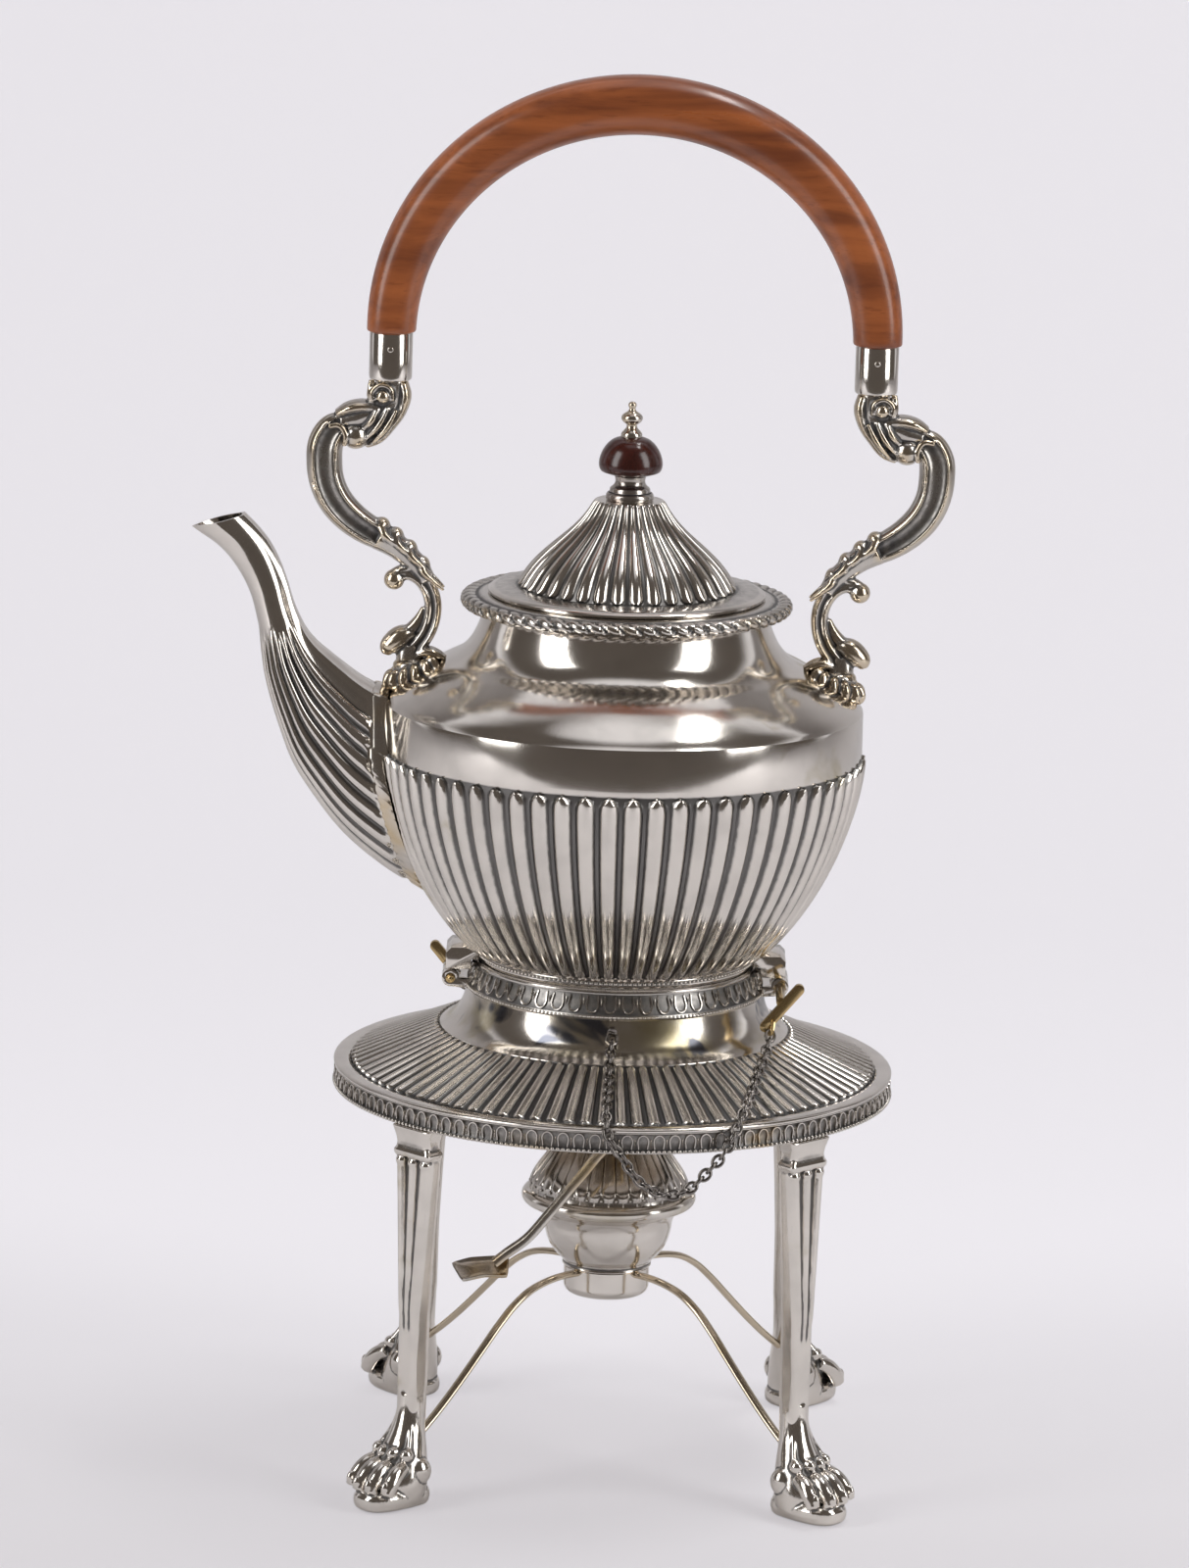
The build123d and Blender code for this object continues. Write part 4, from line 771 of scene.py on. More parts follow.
def round_end(distance, reach):
    """Share of a flute's width near its rounded end."""
    if distance <= 0:
        return 0.0
    if distance >= reach:
        return 1.0
    return math.sqrt(1 - (1 - distance / reach) ** 2)


class KETTLE_OT_body(bpy.types.Operator):
    """Fluted bowl with its plain band, shoulder and neck"""

    bl_idname = "kettle.body"
    bl_label = "Kettle Body"

    def execute(self, context):
        sizes = context.scene.kettle_sizes
        depth = sizes.flute_depth / MM
        rows = [(0.0, BOWL_FOOT), (36.6, BOWL_FOOT)]
        levels = [BOWL_FOOT + BOWL_RISE * share**1.5 for share in np.linspace(0, 1, 46)]
        flute_top, inner_wall = 203.0, 1.3
        for z in sorted(levels[1:] + [201.0, 201.6, 202.0, 202.3, 202.8, 202.98]):
            reach = round_end(flute_top - z, 3.3)
            foot = min(1.0, (z - BOWL_FOOT) / 2.0)
            width = max(reach, 0.01) * 0.8
            rise = depth * min(1.0, 0.35 + 0.65 * foot)
            rows.append((belly_radius(z, sizes) - depth, z, rise, width, 0.0, 0.0))
        rows += [
            (66.5, 203.1, 0.0, 1.0, 0.0, 0.5), (66.6, 203.8), (66.75, 205.0), (66.75, 210.0), (66.7, 215.4),
            (66.55, 216.3),
        ]
        rows += curve(SHOULDER, 40)
        rows += [(38.3, 243.4), (37.7, 243.4)]
        inner = [(r - 1.4, z - 0.5) for r, z in SHOULDER[::-1]]
        rows += curve(inner, 16)
        for z in (202.0, 190.0, 178.0, 166.0, 156.0, 149.5):
            rows.append((belly_radius(z, sizes) - depth - inner_wall, z))
        rows += [(34.0, 147.6), (0.0, 147.6)]
        count = sizes.flute_count
        turned(
            "fluted_body", rows, "silver plate", "kettle", "kettle_body", flutes=count, steps=count * 14,
            roundness=1.6,
        )
        return {"FINISHED"}


class KETTLE_OT_rim(bpy.types.Operator):
    """Gadrooned rim round the mouth and beaded ring under the bowl"""

    bl_idname = "kettle.rim"
    bl_label = "Rim and Foot Ring"

    def execute(self, context):
        sizes = context.scene.kettle_sizes
        rows = [(37.75, 246.9), (37.75, 243.5), (39.4, 243.3), (41.2, 243.25, 0, 1, 0, 0.8)]
        for share in np.linspace(0.0, 1.0, 15):
            turn = math.radians(-125 + 235 * share)
            fade = math.sin(math.pi * min(max(share, 0.02), 0.98)) ** 0.5
            r, z = 43.15 + 2.05 * math.cos(turn), 245.0 + 1.35 * math.sin(turn)
            rows.append((r, z, fade, 0.92, share * 2.2, 0.0))
        rows += [(41.6, 246.35, 0, 1, 0, 0.8), (41.0, 246.6, 0, 1, 0, 0.4), (39.5, 247.0), (37.75, 246.9)]
        turned(
            "gadrooned_rim", rows, "cast plate", "kettle", "kettle_rim", flutes=sizes.rim_ropes,
            steps=sizes.rim_ropes * 8,
        )
        rows = [
            (36.3, 146.1), (36.3, 143.7), (38.2, 143.7), (38.5, 144.1), (38.45, 144.9, 0, 1, 0, 0.9),
            (38.35, 145.6), (37.8, 146.1), (36.3, 146.1),
        ]
        turned("foot_ring", rows, "silver plate", "kettle", "kettle_foot", steps=160)
        ring_of("foot_beads", ball((38.45, 0, 144.9), (0.5, 0.62, 0.5), 5, 8), 180, "kettle")
        return {"FINISHED"}


def cone_radius(z):
    """Radius over the flutes of the lid's cone, full at its foot and hollow above."""
    share = (z - CONE_FOOT) / CONE_RISE
    return CONE_RADIUS - 20.8 * share + 1.1 * math.sin(2 * math.pi * share)


class KETTLE_OT_lid(bpy.types.Operator):
    """Lid: a flat flange and a concave cone of flutes"""

    bl_idname = "kettle.lid"
    bl_label = "Lid"

    def execute(self, context):
        sizes = context.scene.kettle_sizes
        depth = sizes.lid_flute_depth / MM
        rows = [
            (29.4, 247.1), (38.1, 247.1), (38.55, 247.5), (38.5, 248.1), (37.9, 248.6),
            (36.4, 248.9, 0, 1, 0, 0.32),
        ]
        rows += [(33.5, 249.1, 0, 1, 0, 0.32), (31.2, 249.3, 0, 1, 0, 0.4), (30.0, 249.4, 0, 1, 0, 0.9)]
        for share in np.linspace(0.0, 1.0, 44):
            z = CONE_FOOT + CONE_RISE * share**1.4
            full = depth * (0.35 + 0.65 * cone_radius(z) / CONE_RADIUS)
            end = round_end(z - 249.5, 1.8)
            rows.append((cone_radius(z) - full * 0.8, z - full * 0.35, full, max(end, 0.01) * 0.84, 0.0, 0.0))
        rows += [(9.4, 273.7), (1.7, 273.7), (1.7, 272.3), (7.0, 272.3)]
        rows += [(cone_radius(z) - 2.6, z - 0.7) for z in (270.0, 264.0, 258.0, 252.0)]
        rows += [(27.6, 248.4), (29.4, 247.1)]
        count = sizes.lid_flutes
        turned(
            "fluted_lid", rows, "silver plate", "lid", "lid", flutes=count, steps=count * 16, roundness=1.3,
        )
        rows = [
            (37.2, 247.1), (37.2, 240.4), (36.9, 240.1), (36.5, 240.1), (36.2, 240.4), (36.2, 247.1),
            (37.2, 247.1),
        ]
        turned("lid_socket_ring", rows, "silver plate", "lid", "lid_bezel", steps=96)
        return {"FINISHED"}


class KETTLE_OT_knob(bpy.types.Operator):
    """Spool, wooden knob, finial and the nut under the lid"""

    bl_idname = "kettle.knob"
    bl_label = "Knob and Finial"

    def execute(self, context):
        foot = [
            (6.4, 273.75), (6.65, 274.2), (6.6, 275.2), (6.3, 275.7), (5.8, 275.95, 0, 1, 0, 0.8),
            (5.65, 276.2), (5.6, 276.9),
        ]
        waist = curve([(5.3, 277.3), (4.6, 277.9), (4.15, 278.8), (4.2, 279.7), (4.4, 280.4)], 12)
        rows = [(1.6, 273.75), *foot, *waist, (4.3, 280.55), (1.6, 280.55)]
        turned("spool", rows, "spool plate", "lid", "knob_spool", steps=64)
        line = [
            (4.9, 280.7), (6.6, 281.2), (8.3, 281.9), (8.82, 283.3), (8.75, 284.9), (8.1, 287.0),
            (6.8, 289.1), (5.1, 290.6), (3.0, 291.4),
        ]
        rows = [(1.6, 280.62), (4.4, 280.62)] + curve(line, 24) + [(1.6, 291.4)]
        turned("knob_wood", rows, "knob wood", "lid", "knob", steps=72)
        line = [
            (2.95, 291.45), (2.9, 292.3), (2.2, 293.2), (1.5, 294.1), (1.45, 294.7), (2.3, 295.4),
            (2.95, 296.4), (2.9, 297.1), (2.2, 297.9), (1.15, 298.6), (0.85, 299.3), (1.1, 299.9),
            (1.15, 300.4), (0.85, 300.95), (0.0, 301.25),
        ]
        rows = [(0.0, 269.6), (1.45, 269.6), (1.45, 291.4)] + curve(line, 44)
        turned("finial_turning", rows, "worn plate", "lid", "finial", steps=40)
        eased_copy("knob_nut", 0.25, "worn brass", "lid")
        return {"FINISHED"}


# Lower and upper edge of the spout in its upright plane, and its half width, from the bowl to the lip
SPOUT_STATIONS = [
    (-52.5, 161.5, -60.0, 217.5, 18.0),
    (-66.0, 169.6, -66.5, 218.6, 16.6),
    (-76.8, 178.5, -72.6, 221.4, 15.0),
    (-84.6, 188.0, -78.0, 225.2, 13.4),
    (-90.8, 197.4, -82.4, 228.6, 12.0),
    (-94.8, 207.4, -85.6, 231.2, 10.8),
    (-98.0, 217.4, -88.4, 234.4, 9.6),
    (-100.4, 227.6, -90.5, 238.2, 8.4),
    (-102.3, 237.0, -92.4, 242.6, 7.3),
    (-104.6, 245.0, -94.2, 248.4, 6.5),
    (-108.2, 251.6, -96.6, 254.4, 6.0),
    (-113.2, 257.4, -99.8, 259.9, 5.8),
    (-118.6, 261.1, -104.0, 264.7, 5.6),
    (-121.0, 262.7, -106.2, 266.8, 5.4),
]


class KETTLE_OT_spout(bpy.types.Operator):
    """Swan-neck spout, ribbed along its lower part, with an apron where it meets the bowl"""

    bl_idname = "kettle.spout"
    bl_label = "Spout"

    def execute(self, context):
        sizes = context.scene.kettle_sizes
        ribs = sizes.spout_ribs
        flange = sizes.spout_flange / MM
        line = smooth_line(SPOUT_STATIONS, 150)
        low, high = line[:, (0, 1)], line[:, (2, 3)]
        centre, along, deep = (low + high) / 2, high - low, line[:, 4]
        tall = np.linalg.norm(along, axis=1) / 2
        along /= 2 * tall[:, None]
        plain_part = 46.0
        turns = np.concatenate(
            (np.linspace(0, plain_part, 24)[:-1], np.linspace(plain_part, 180, ribs * 12 + 1))
        )
        half = np.concatenate((turns, turns[1:-1][::-1]))
        turns = np.radians(np.concatenate((turns, 360 - turns[1:-1][::-1])))

        def skin_points(inset):
            """Points of the bare spout, pinched at the lip, with a ridge down each upper side."""
            mouth = np.clip((np.linspace(0, 1, len(line)) - 0.88) / 0.12, 0, 1)[:, None]
            pinch = 1 - 0.5 * mouth * np.maximum(0.0, -np.cos(turns)) ** 1.5
            ridge = 1 + 0.10 * np.maximum(0.0, 1 - np.abs(half - 30.0) / 16.0) ** 2
            a = (tall[:, None] - inset) * np.cos(turns) * ridge
            b = (deep[:, None] - inset) * np.sin(turns) * pinch * ridge
            return np.stack((centre[:, :1] + along[:, :1] * a, b, centre[:, 1:] + along[:, 1:] * a), axis=2)

        bare = skin_points(0.0)
        outward = np.cross(np.gradient(bare, axis=0), np.roll(bare, -1, axis=1) - np.roll(bare, 1, axis=1))
        outward /= np.maximum(np.linalg.norm(outward, axis=2), 1e-9)[..., None]
        middle = np.stack((centre[:, 0], np.zeros(len(line)), centre[:, 1]), axis=1)[:, None, :]
        outward *= np.sign(((bare - middle) * outward).sum(axis=2))[..., None]
        wall = np.array([[body_radius(point[2], sizes) for point in row] for row in bare])
        inside = np.hypot(bare[..., 0], bare[..., 1]) < wall
        joint = np.array([np.flatnonzero(column)[-1] if column.any() else 0 for column in inside.T])
        run = np.concatenate(
            (np.zeros((1, len(turns))), np.cumsum(np.linalg.norm(np.diff(bare, axis=0), axis=2), axis=0))
        )
        run -= run[joint, range(len(turns))]

        share = np.linspace(0, 1, len(line))[:, None]
        phase = (half - plain_part) / (180 - plain_part) * ribs % 1.0 - 0.5
        crest = np.clip(1 - (phase / 0.42) ** 2, 0, 1) ** 0.75
        tip = np.sqrt(np.clip((run - flange - 0.6) / 1.6, 0, 1))
        fade = np.clip((0.70 - share - 0.03 * np.cos(turns)) / 0.10, 0, 1) * (half > plain_part) * tip
        rise = (1.15 * crest - 0.25) * fade
        mark = (1 - crest) ** 1.5 * fade + 0.22 * (half > 34) * (half <= plain_part) * (share > 0.2)
        dressed = bare + outward * rise[..., None]
        rings = list(dressed)
        marks = [mark.ravel()]
        hollow = skin_points(0.9)
        for number in range(len(line) - 1, len(line) // 2, -8):
            rings.append(hollow[number])
            marks.append(np.full(len(turns), 0.0 if number > len(line) - 20 else 0.7))
        spout = new_piece("ribbed_spout", skin(rings))
        store(spout.data, "recess", np.concatenate(marks))
        face_out(spout, edge=50.0)
        finish_piece(spout, "silver plate", "kettle", "spout")

        # Distance from the joint and lift over the ribs, of a section through the apron
        section = [(-1.8, 0.15), (-0.6, 0.55), (0.4, 0.8)]
        section += [(flange - 0.9, 0.75), (flange - 0.2, 0.5), (flange, -0.4)]
        strip = []
        for distance, lift in section:
            ring = []
            for k in range(len(turns)):
                spot = np.array([np.interp(distance, run[:, k], dressed[:, k, axis]) for axis in range(3)])
                away = np.array([np.interp(distance, run[:, k], outward[:, k, axis]) for axis in range(3)])
                spot = spot + away * lift
                limit = body_radius(spot[2], sizes) + max(0.1, 0.1 + 0.3 * (distance + 1.8))
                reach = math.hypot(spot[0], spot[1])
                if reach < limit:
                    spot[:2] *= limit / reach
                ring.append(spot)
            strip.append(ring)
        apron = new_piece("spout_apron", skin(strip, ends=False))
        apron.modifiers.new("sheet", "SOLIDIFY").thickness = 0.2 * MM
        plain(apron)
        face_out(apron, edge=55.0)
        mark_recesses(apron, (4, 0.3))
        finish_piece(apron, "worn plate", "kettle")
        return {"FINISHED"}


def scroll_arm():
    """Cast scroll on the right: leaf, big scroll, wrapped waist and small scroll."""
    forms = []

    def rod(*points, **values):
        forms.append(bent_rod(points, **values))

    # Big scroll, hollowed down both faces, that curls into its bulb
    scroll = [
        (79.4, 0, 293.6, 3.0),
        (82.4, 0, 291.2, 4.3),
        (84.4, 0, 287.2, 4.9),
        (84.7, 0, 282.2, 5.0),
        (83.9, 0, 276.6, 4.9),
        (81.4, 0, 271.2, 4.8),
        (77.2, 0, 266.6, 4.6),
        (72.4, 0, 263.3, 4.3),
        (67.8, 0, 261.1, 3.9),
    ]
    rod(*scroll, sides=56, steps=80, flat=0.9, gutter=(0.56, 0.5))
    rod((69.0, 0, 298.8, 3.0), (72.6, 0, 296.2, 3.2), (76.6, 0, 294.4, 3.0), (80.4, 0, 293.4, 2.4), flat=1.1)
    forms.append(ball((76.2, 0, 289.6), (4.0, 4.7, 3.9)))
    for side in (-1, 1):
        curl = [
            (79.2, side * 3.6, 287.0, 0.7), (78.9, side * 3.9, 290.2, 0.8), (80.6, side * 3.8, 292.6, 0.8),
            (83.6, side * 3.6, 292.4, 0.7),
        ]
        rod(*curl, sides=12)
    # Plate that folds over the top of the scroll
    rod((70.6, 0, 297.6, 1.6), (74.6, 0, 297.9, 1.9), (78.6, 0, 297.0, 1.8), (81.6, 0, 295.4, 1.2), flat=2.3)
    # Leaf with a volute that drops from the ferrule
    rod(
        (67.0, 0, 305.8, 4.2), (66.9, 0, 301.6, 4.0), (68.4, 0, 297.4, 4.4), (71.2, 0, 293.4, 4.4),
        (74.2, 0, 290.2, 3.2), flat=0.8,
    )
    rod(
        (63.4, 0, 304.8, 1.4), (62.7, 0, 301.2, 1.7), (63.6, 0, 297.0, 1.5), (66.4, 0, 292.4, 1.3),
        (70.2, 0, 288.2, 1.1), (73.2, 0, 286.8, 0.8), flat=2.0,
    )
    for side in (-1, 1):
        forms.append(ball((68.9, side * 3.2, 301.0), (2.0, 1.9, 2.0)))
        rod(
            (66.2, side * 3.3, 300.0, 0.7), (66.8, side * 3.5, 303.2, 0.7), (69.4, side * 3.5, 304.2, 0.7),
            (71.8, side * 3.3, 302.2, 0.7), (71.6, side * 3.3, 299.6, 0.6), sides=12,
        )
        rod(
            (72.2, side * 2.2, 304.8, 0.9), (72.4, side * 2.4, 300.8, 0.9), (71.8, side * 2.6, 298.2, 0.8),
            sides=12,
        )
        for x, z, x_end, z_end in (
            (65.0, 297.4, 71.4, 287.8), (67.4, 297.6, 73.6, 288.6), (70.2, 297.6, 74.6, 291.2),
        ):
            middle = ((x + x_end) / 2 - 0.5, side * 4.0, (z + z_end) / 2 - 0.3, 0.75)
            rod((x, side * 3.4, z, 0.5), middle, (x_end, side * 2.6, z_end, 0.45), sides=12)
    # Waist wrapped by stepped leaves
    rod(
        (69.0, 0, 261.4, 3.9), (65.0, 0, 259.3, 3.6), (61.2, 0, 256.4, 3.2), (57.8, 0, 253.2, 2.8),
        (55.4, 0, 249.6, 2.4), flat=1.0,
    )
    for x, z, radius in ((68.0, 265.0, 1.75), (64.2, 262.4, 1.7), (60.4, 259.0, 1.7), (56.8, 254.6, 1.7)):
        rod(
            (x + 2.6, 0, z + 0.4, radius * 0.6), (x, 0, z, radius), (x - 1.6, 0, z - 1.6, radius * 0.55),
            sides=12, flat=1.6,
        )
        for side in (-1, 1):
            wrap = [
                (x + 0.8, side * 1.6, z - 0.1, radius * 0.75), (x - 0.4, side * 3.2, z - 2.4, radius * 0.6),
                (x - 3.0, side * 3.2, z - 4.8, radius * 0.45), (x - 6.0, side * 2.2, z - 7.4, radius * 0.3),
            ]
            rod(*wrap, sides=12, steps=24)
    # Small scroll with its bud, and the swelling over the foot
    small = [
        (63.2, 0, 251.2, 2.2),
        (60.6, 0, 251.6, 2.3),
        (57.4, 0, 250.2, 2.4),
        (54.9, 0, 247.0, 2.4),
        (53.7, 0, 243.0, 2.4),
        (53.8, 0, 239.2, 2.4),
        (55.0, 0, 235.2, 2.45),
        (57.0, 0, 231.8, 2.5),
        (59.4, 0, 228.8, 2.7),
    ]
    rod(*small, sides=40, steps=70, flat=1.1, gutter=(0.4, 0.4))
    rod((56.4, 0, 249.4, 1.9), (59.4, 0, 251.2, 2.0), (62.6, 0, 251.6, 2.0), (64.8, 0, 250.4, 1.9))
    forms.append(ball((64.6, 0, 249.4), (2.9, 3.1, 2.9)))
    rod((56.2, 0, 241.8, 0.7), (57.6, 0, 238.4, 1.4), (59.6, 0, 235.8, 1.7), (62.0, 0, 234.2, 1.4), flat=1.3)
    rod(
        (58.6, 0, 234.6, 1.6), (61.4, 0, 233.8, 3.0), (64.2, 0, 231.8, 3.2), (66.0, 0, 229.6, 2.4),
        (66.4, 0, 228.2, 1.2), flat=1.15,
    )
    rod((60.0, 0, 231.0, 2.8), (60.4, 0, 228.0, 3.2), (60.2, 0, 225.4, 3.4), flat=0.95)
    # Ridged leaf that lies on the shoulder at the foot's inner side
    for side in (-0.9, 0.0, 0.9):
        rod(
            (58.4, side, 228.4, 1.3), (54.6, side * 2.4, 229.4, 1.25), (51.8, side * 2.4, 228.6, 1.0),
            (49.8, side * 1.2, 227.6, 0.6), sides=12, steps=20,
        )
    return join_shapes(*forms)


def shell_foot():
    """Cushion of bulging lobes that lies on the shoulder under the right arm."""
    middle, lobes = 58.9, 13
    forms = [ball((middle, 0, 225.2), (5.6, 5.4, 2.9), 12, 20)]
    for lobe in range(lobes):
        turn = 2 * math.pi * (lobe + 0.5) / lobes
        x, y = middle + 6.0 * math.cos(turn), 6.2 * math.sin(turn)
        low = shoulder_height(min(math.hypot(x, y), 65.0))
        z = 0.6 * low + 0.4 * 223.0
        radii = Matrix.Diagonal((2.5, 1.55, 3.0, 1.0))
        tilt = Matrix.Rotation(turn, 4, "Z") @ Matrix.Rotation(math.radians(-18), 4, "Y")
        place = Matrix.Translation((x, y, z + 0.9)) @ tilt @ radii
        forms.append(placed(ball((0, 0, 0), (1, 1, 1), 12, 18), place))
    return join_shapes(*forms)


class KETTLE_OT_arms(bpy.types.Operator):
    """Cast scroll arms and the shell feet they stand on"""

    bl_idname = "kettle.arms"
    bl_label = "Handle Arms"

    def execute(self, context):
        arm, shell = scroll_arm(), shell_foot()
        for side, sign in (("right", 1), ("left", -1)):
            turn = Matrix.Scale(sign, 4, (1, 0, 0))
            piece = new_piece(f"scroll_arm_{side}", placed(arm, turn))
            fused(piece, 0.32, 3)
            face_out(piece, edge=80.0)
            mark_recesses(piece, (10, 0.14), (80, 1.0))
            finish_piece(piece, "cast plate", "kettle", f"handle_arm_{side}")
            piece = new_piece(f"shell_{side}", placed(shell, turn))
            fused(piece, 0.3, 3)
            face_out(piece, edge=80.0)
            mark_recesses(piece, (10, 0.12))
            finish_piece(piece, "cast plate", "kettle", f"handle_shell_{side}")
        return {"FINISHED"}


class KETTLE_OT_grip(bpy.types.Operator):
    """Wooden arch and the ferrules at its ends"""

    bl_idname = "kettle.grip"
    bl_label = "Grip and Ferrules"

    def execute(self, context):
        top = context.scene.kettle_sizes.grip_radius / MM
        foot, span, rise, end_radius, squareness = 319.0, 67.0, 64.5, 7.0, 2.4
        rings = []
        for turn in np.radians(np.linspace(-90, 90, 97)):
            centre = np.array((span * math.sin(turn), 0.0, foot + rise * math.cos(turn)))
            out = np.array((math.sin(turn) * rise, 0.0, math.cos(turn) * span))
            out /= np.linalg.norm(out)
            radius = end_radius + (top - end_radius) * math.cos(turn)
            ring = []
            for k in range(40):
                a = 2 * math.pi * k / 40
                bulge = abs(math.cos(a)) ** squareness + abs(math.sin(a)) ** squareness
                bulge = bulge ** (-1 / squareness)
                across = np.array((0.0, math.sin(a), 0.0))
                ring.append(centre + radius * bulge * (out * math.cos(a) * 0.97 + across))
            rings.append(ring)
        grip = new_piece("grip_arch", skin(rings))
        break_edges(grip, 0.5, 60.0)
        face_out(grip, edge=50.0)
        finish_piece(grip, "grip wood", "kettle", "handle_grip")
        rows = [
            (5.0, foot), (5.1, 318.9), (5.7, 318.9), (5.95, 318.5), (5.95, 306.6), (5.8, 305.8),
            (5.3, 305.4), (0.0, 305.4),
        ]
        for side, x in (("right", span), ("left", -span)):
            turned(f"sleeve_{side}", rows, "silver plate", "kettle", f"ferrule_{side}", steps=64, aside=x)
            eased_copy(f"ferrule_pin_{side}", 0.2, "silver plate", "kettle")
        return {"FINISHED"}


class KETTLE_OT_stand_top(bpy.types.Operator):
    """Reeded disc, its margin, the plain flare and the collar"""

    bl_idname = "kettle.stand_top"
    bl_label = "Stand Top"

    def execute(self, context):
        count = context.scene.stand_sizes.reed_count
        rows = [(66.6, 106.9), (77.0, 106.9), (77.0, 112.8), (78.1, 112.85)]
        margin = [
            (78.2, 112.9), (78.25, 113.4), (77.7, 113.85), (76.6, 114.05), (75.2, 114.1), (74.4, 114.0),
            (73.8, 113.7),
        ]
        rows += curve(margin, 14)
        rows.append((73.4, 113.5, 0.0, 1.0, 0.0, 0.9))
        reed_length, outer, inner = 26.5, (73.2, 113.5), (49.0, 124.2)
        shares = [*np.linspace(0, 0.12, 12), *np.linspace(0.12, 0.9, 24)[1:], *np.linspace(0.9, 1.0, 12)[1:]]
        for share in shares:
            r = outer[0] + (inner[0] - outer[0]) * share
            z = outer[1] + (inner[1] - outer[1]) * share
            run = reed_length * share
            width = min(round_end(run + 0.02, 1.5), round_end(reed_length - run + 0.02, 1.6))
            rows.append((r, z - 0.15, 1.25 - 0.45 * share, max(width, 0.01) * (0.70 + 0.1 * share), 0.0, 0.0))
        flare = [(48.8, 124.5), (46.2, 126.1), (43.9, 128.5), (42.5, 131.2), (41.9, 133.6), (41.6, 135.3)]
        rows += curve(flare, 26)
        rows += [(41.7, 135.5), (40.5, 135.5), (37.5, 143.2), (36.2, 143.2), (36.2, 142.6), (39.2, 134.6)]
        rows += [
            (41.4, 129.0), (45.0, 125.4), (47.6, 123.2), (60.0, 118.0), (72.0, 112.9), (75.6, 111.6),
            (75.7, 108.2), (66.6, 108.2), (66.6, 106.9),
        ]
        turned(
            "reeded_stand_top", rows, "flare plate", "stand", "stand_top", flutes=count, steps=count * 10,
            roundness=1.1,
        )
        return {"FINISHED"}


def arch_motif(radius, foot, height, half, wire, lean=0.0):
    """Wire-edged oval, open below, and the dart beside it, as seen from outside, on a band of a radius."""
    path = [(half * 0.8, foot)]
    for turn in np.radians(np.linspace(-20, 200, 13)):
        path.append((half * math.cos(turn), foot + height - half * 1.2 + half * 1.2 * math.sin(turn)))
    path.append((-half * 0.8, foot))
    corners, faces = [], []
    middle = foot + height * 0.55
    for y, z in path:
        for inward, rise in ((0.0, -0.4), (0.25, 0.25), (0.75, 0.25), (1.0, -0.4)):
            share = 1.0 - inward * wire / half
            spot = middle + (z - middle) * share
            corners.append((radius - lean * (spot - foot) + rise, y * share, spot))
    for k in range(len(path) - 1):
        for edge in range(3):
            a, b = 4 * k + edge, 4 * k + 4 + edge
            faces.append((a, a + 1, b + 1, b))
    turn = half * 1.24 / radius
    centre = (radius - lean * height * 0.5 - 0.3, 0, foot + height * 0.42)
    dart = ball(centre, (0.42, 0.24, height * 0.32), 4, 6)
    return join_shapes((corners, faces), placed(dart, Matrix.Rotation(turn, 4, "Z")))


class KETTLE_OT_borders(bpy.types.Operator):
    """Bands of ovals and beads round the disc's edge and the collar"""

    bl_idname = "kettle.borders"
    bl_label = "Borders"

    def execute(self, context):
        sizes = context.scene.stand_sizes
        bead = sizes.bead_radius / MM
        rows = [
            (77.05, 106.85), (77.7, 106.85), (77.8, 107.4, 0, 1, 0, 0.6), (77.6, 107.95, 0, 1, 0, 0.7),
            (77.5, 108.3, 0, 1, 0, 0.5),
        ]
        rows += [
            (77.5, 110.0, 0, 1, 0, 0.42), (77.5, 111.9, 0, 1, 0, 0.5), (77.75, 112.3, 0, 1, 0, 0.5),
            (78.1, 112.5), (78.1, 112.75), (77.05, 112.8), (77.05, 106.85),
        ]
        turned("disc_band", rows, "cast plate", "stand", "disc_border", steps=256)
        motif = arch_motif(77.85, 107.9, 4.5, 1.75, 0.55)
        ring_of("disc_ovals", motif, sizes.border_motifs, "stand")
        pearl = ball((77.95, 0, 107.4), (bead, bead * 1.15, bead), 5, 8)
        ring_of("disc_beads", pearl, sizes.border_motifs * 3, "stand")

        rows = [
            (40.5, 135.5), (41.7, 135.5), (41.95, 135.9), (41.75, 136.4), (41.35, 136.8, 0, 1, 0, 0.6),
            (40.3, 139.4, 0, 1, 0, 0.42),
        ]
        rows += [
            (39.25, 142.0, 0, 1, 0, 0.5), (39.35, 142.4), (39.2, 142.9), (38.6, 143.25), (37.5, 143.25),
            (40.5, 135.5),
        ]
        turned("collar_band", rows, "cast plate", "stand", "collar_border", steps=192)
        motif = arch_motif(41.55, -142.0, 5.0, 1.95, 0.55, lean=-0.40)
        motif = placed(motif, Matrix.Diagonal((1.0, 1.0, -1.0, 1.0)))
        motif = placed(motif, Matrix.Translation((-2.0, 0.0, 0.0)))
        ring_of("collar_ovals", motif, sizes.collar_motifs, "stand")
        pearl = ball((41.75, 0, 136.15), (0.42, 0.52, 0.42), 5, 8)
        ring_of("collar_beads", pearl, 220, "stand")
        return {"FINISHED"}


class KETTLE_OT_hinges(bpy.types.Operator):
    """Hinge leaves, brackets, chain eyes and drawn pins"""

    bl_idname = "kettle.hinges"
    bl_label = "Hinges and Pins"

    def execute(self, context):
        for side in ("left", "right"):
            for part, body in (("hinge_leaf", "kettle"), ("hinge_bracket", "stand")):
                eased_copy(f"{part}_{side}", 0.3, "silver plate", body)
            eased_copy(f"hinge_pin_{side}", 0.45, "worn brass", f"{side}_pin")
        for node in ("chain_eye_front", "chain_eye_rear"):
            eased_copy(node, 0.25, "dark steel", "stand")
        return {"FINISHED"}


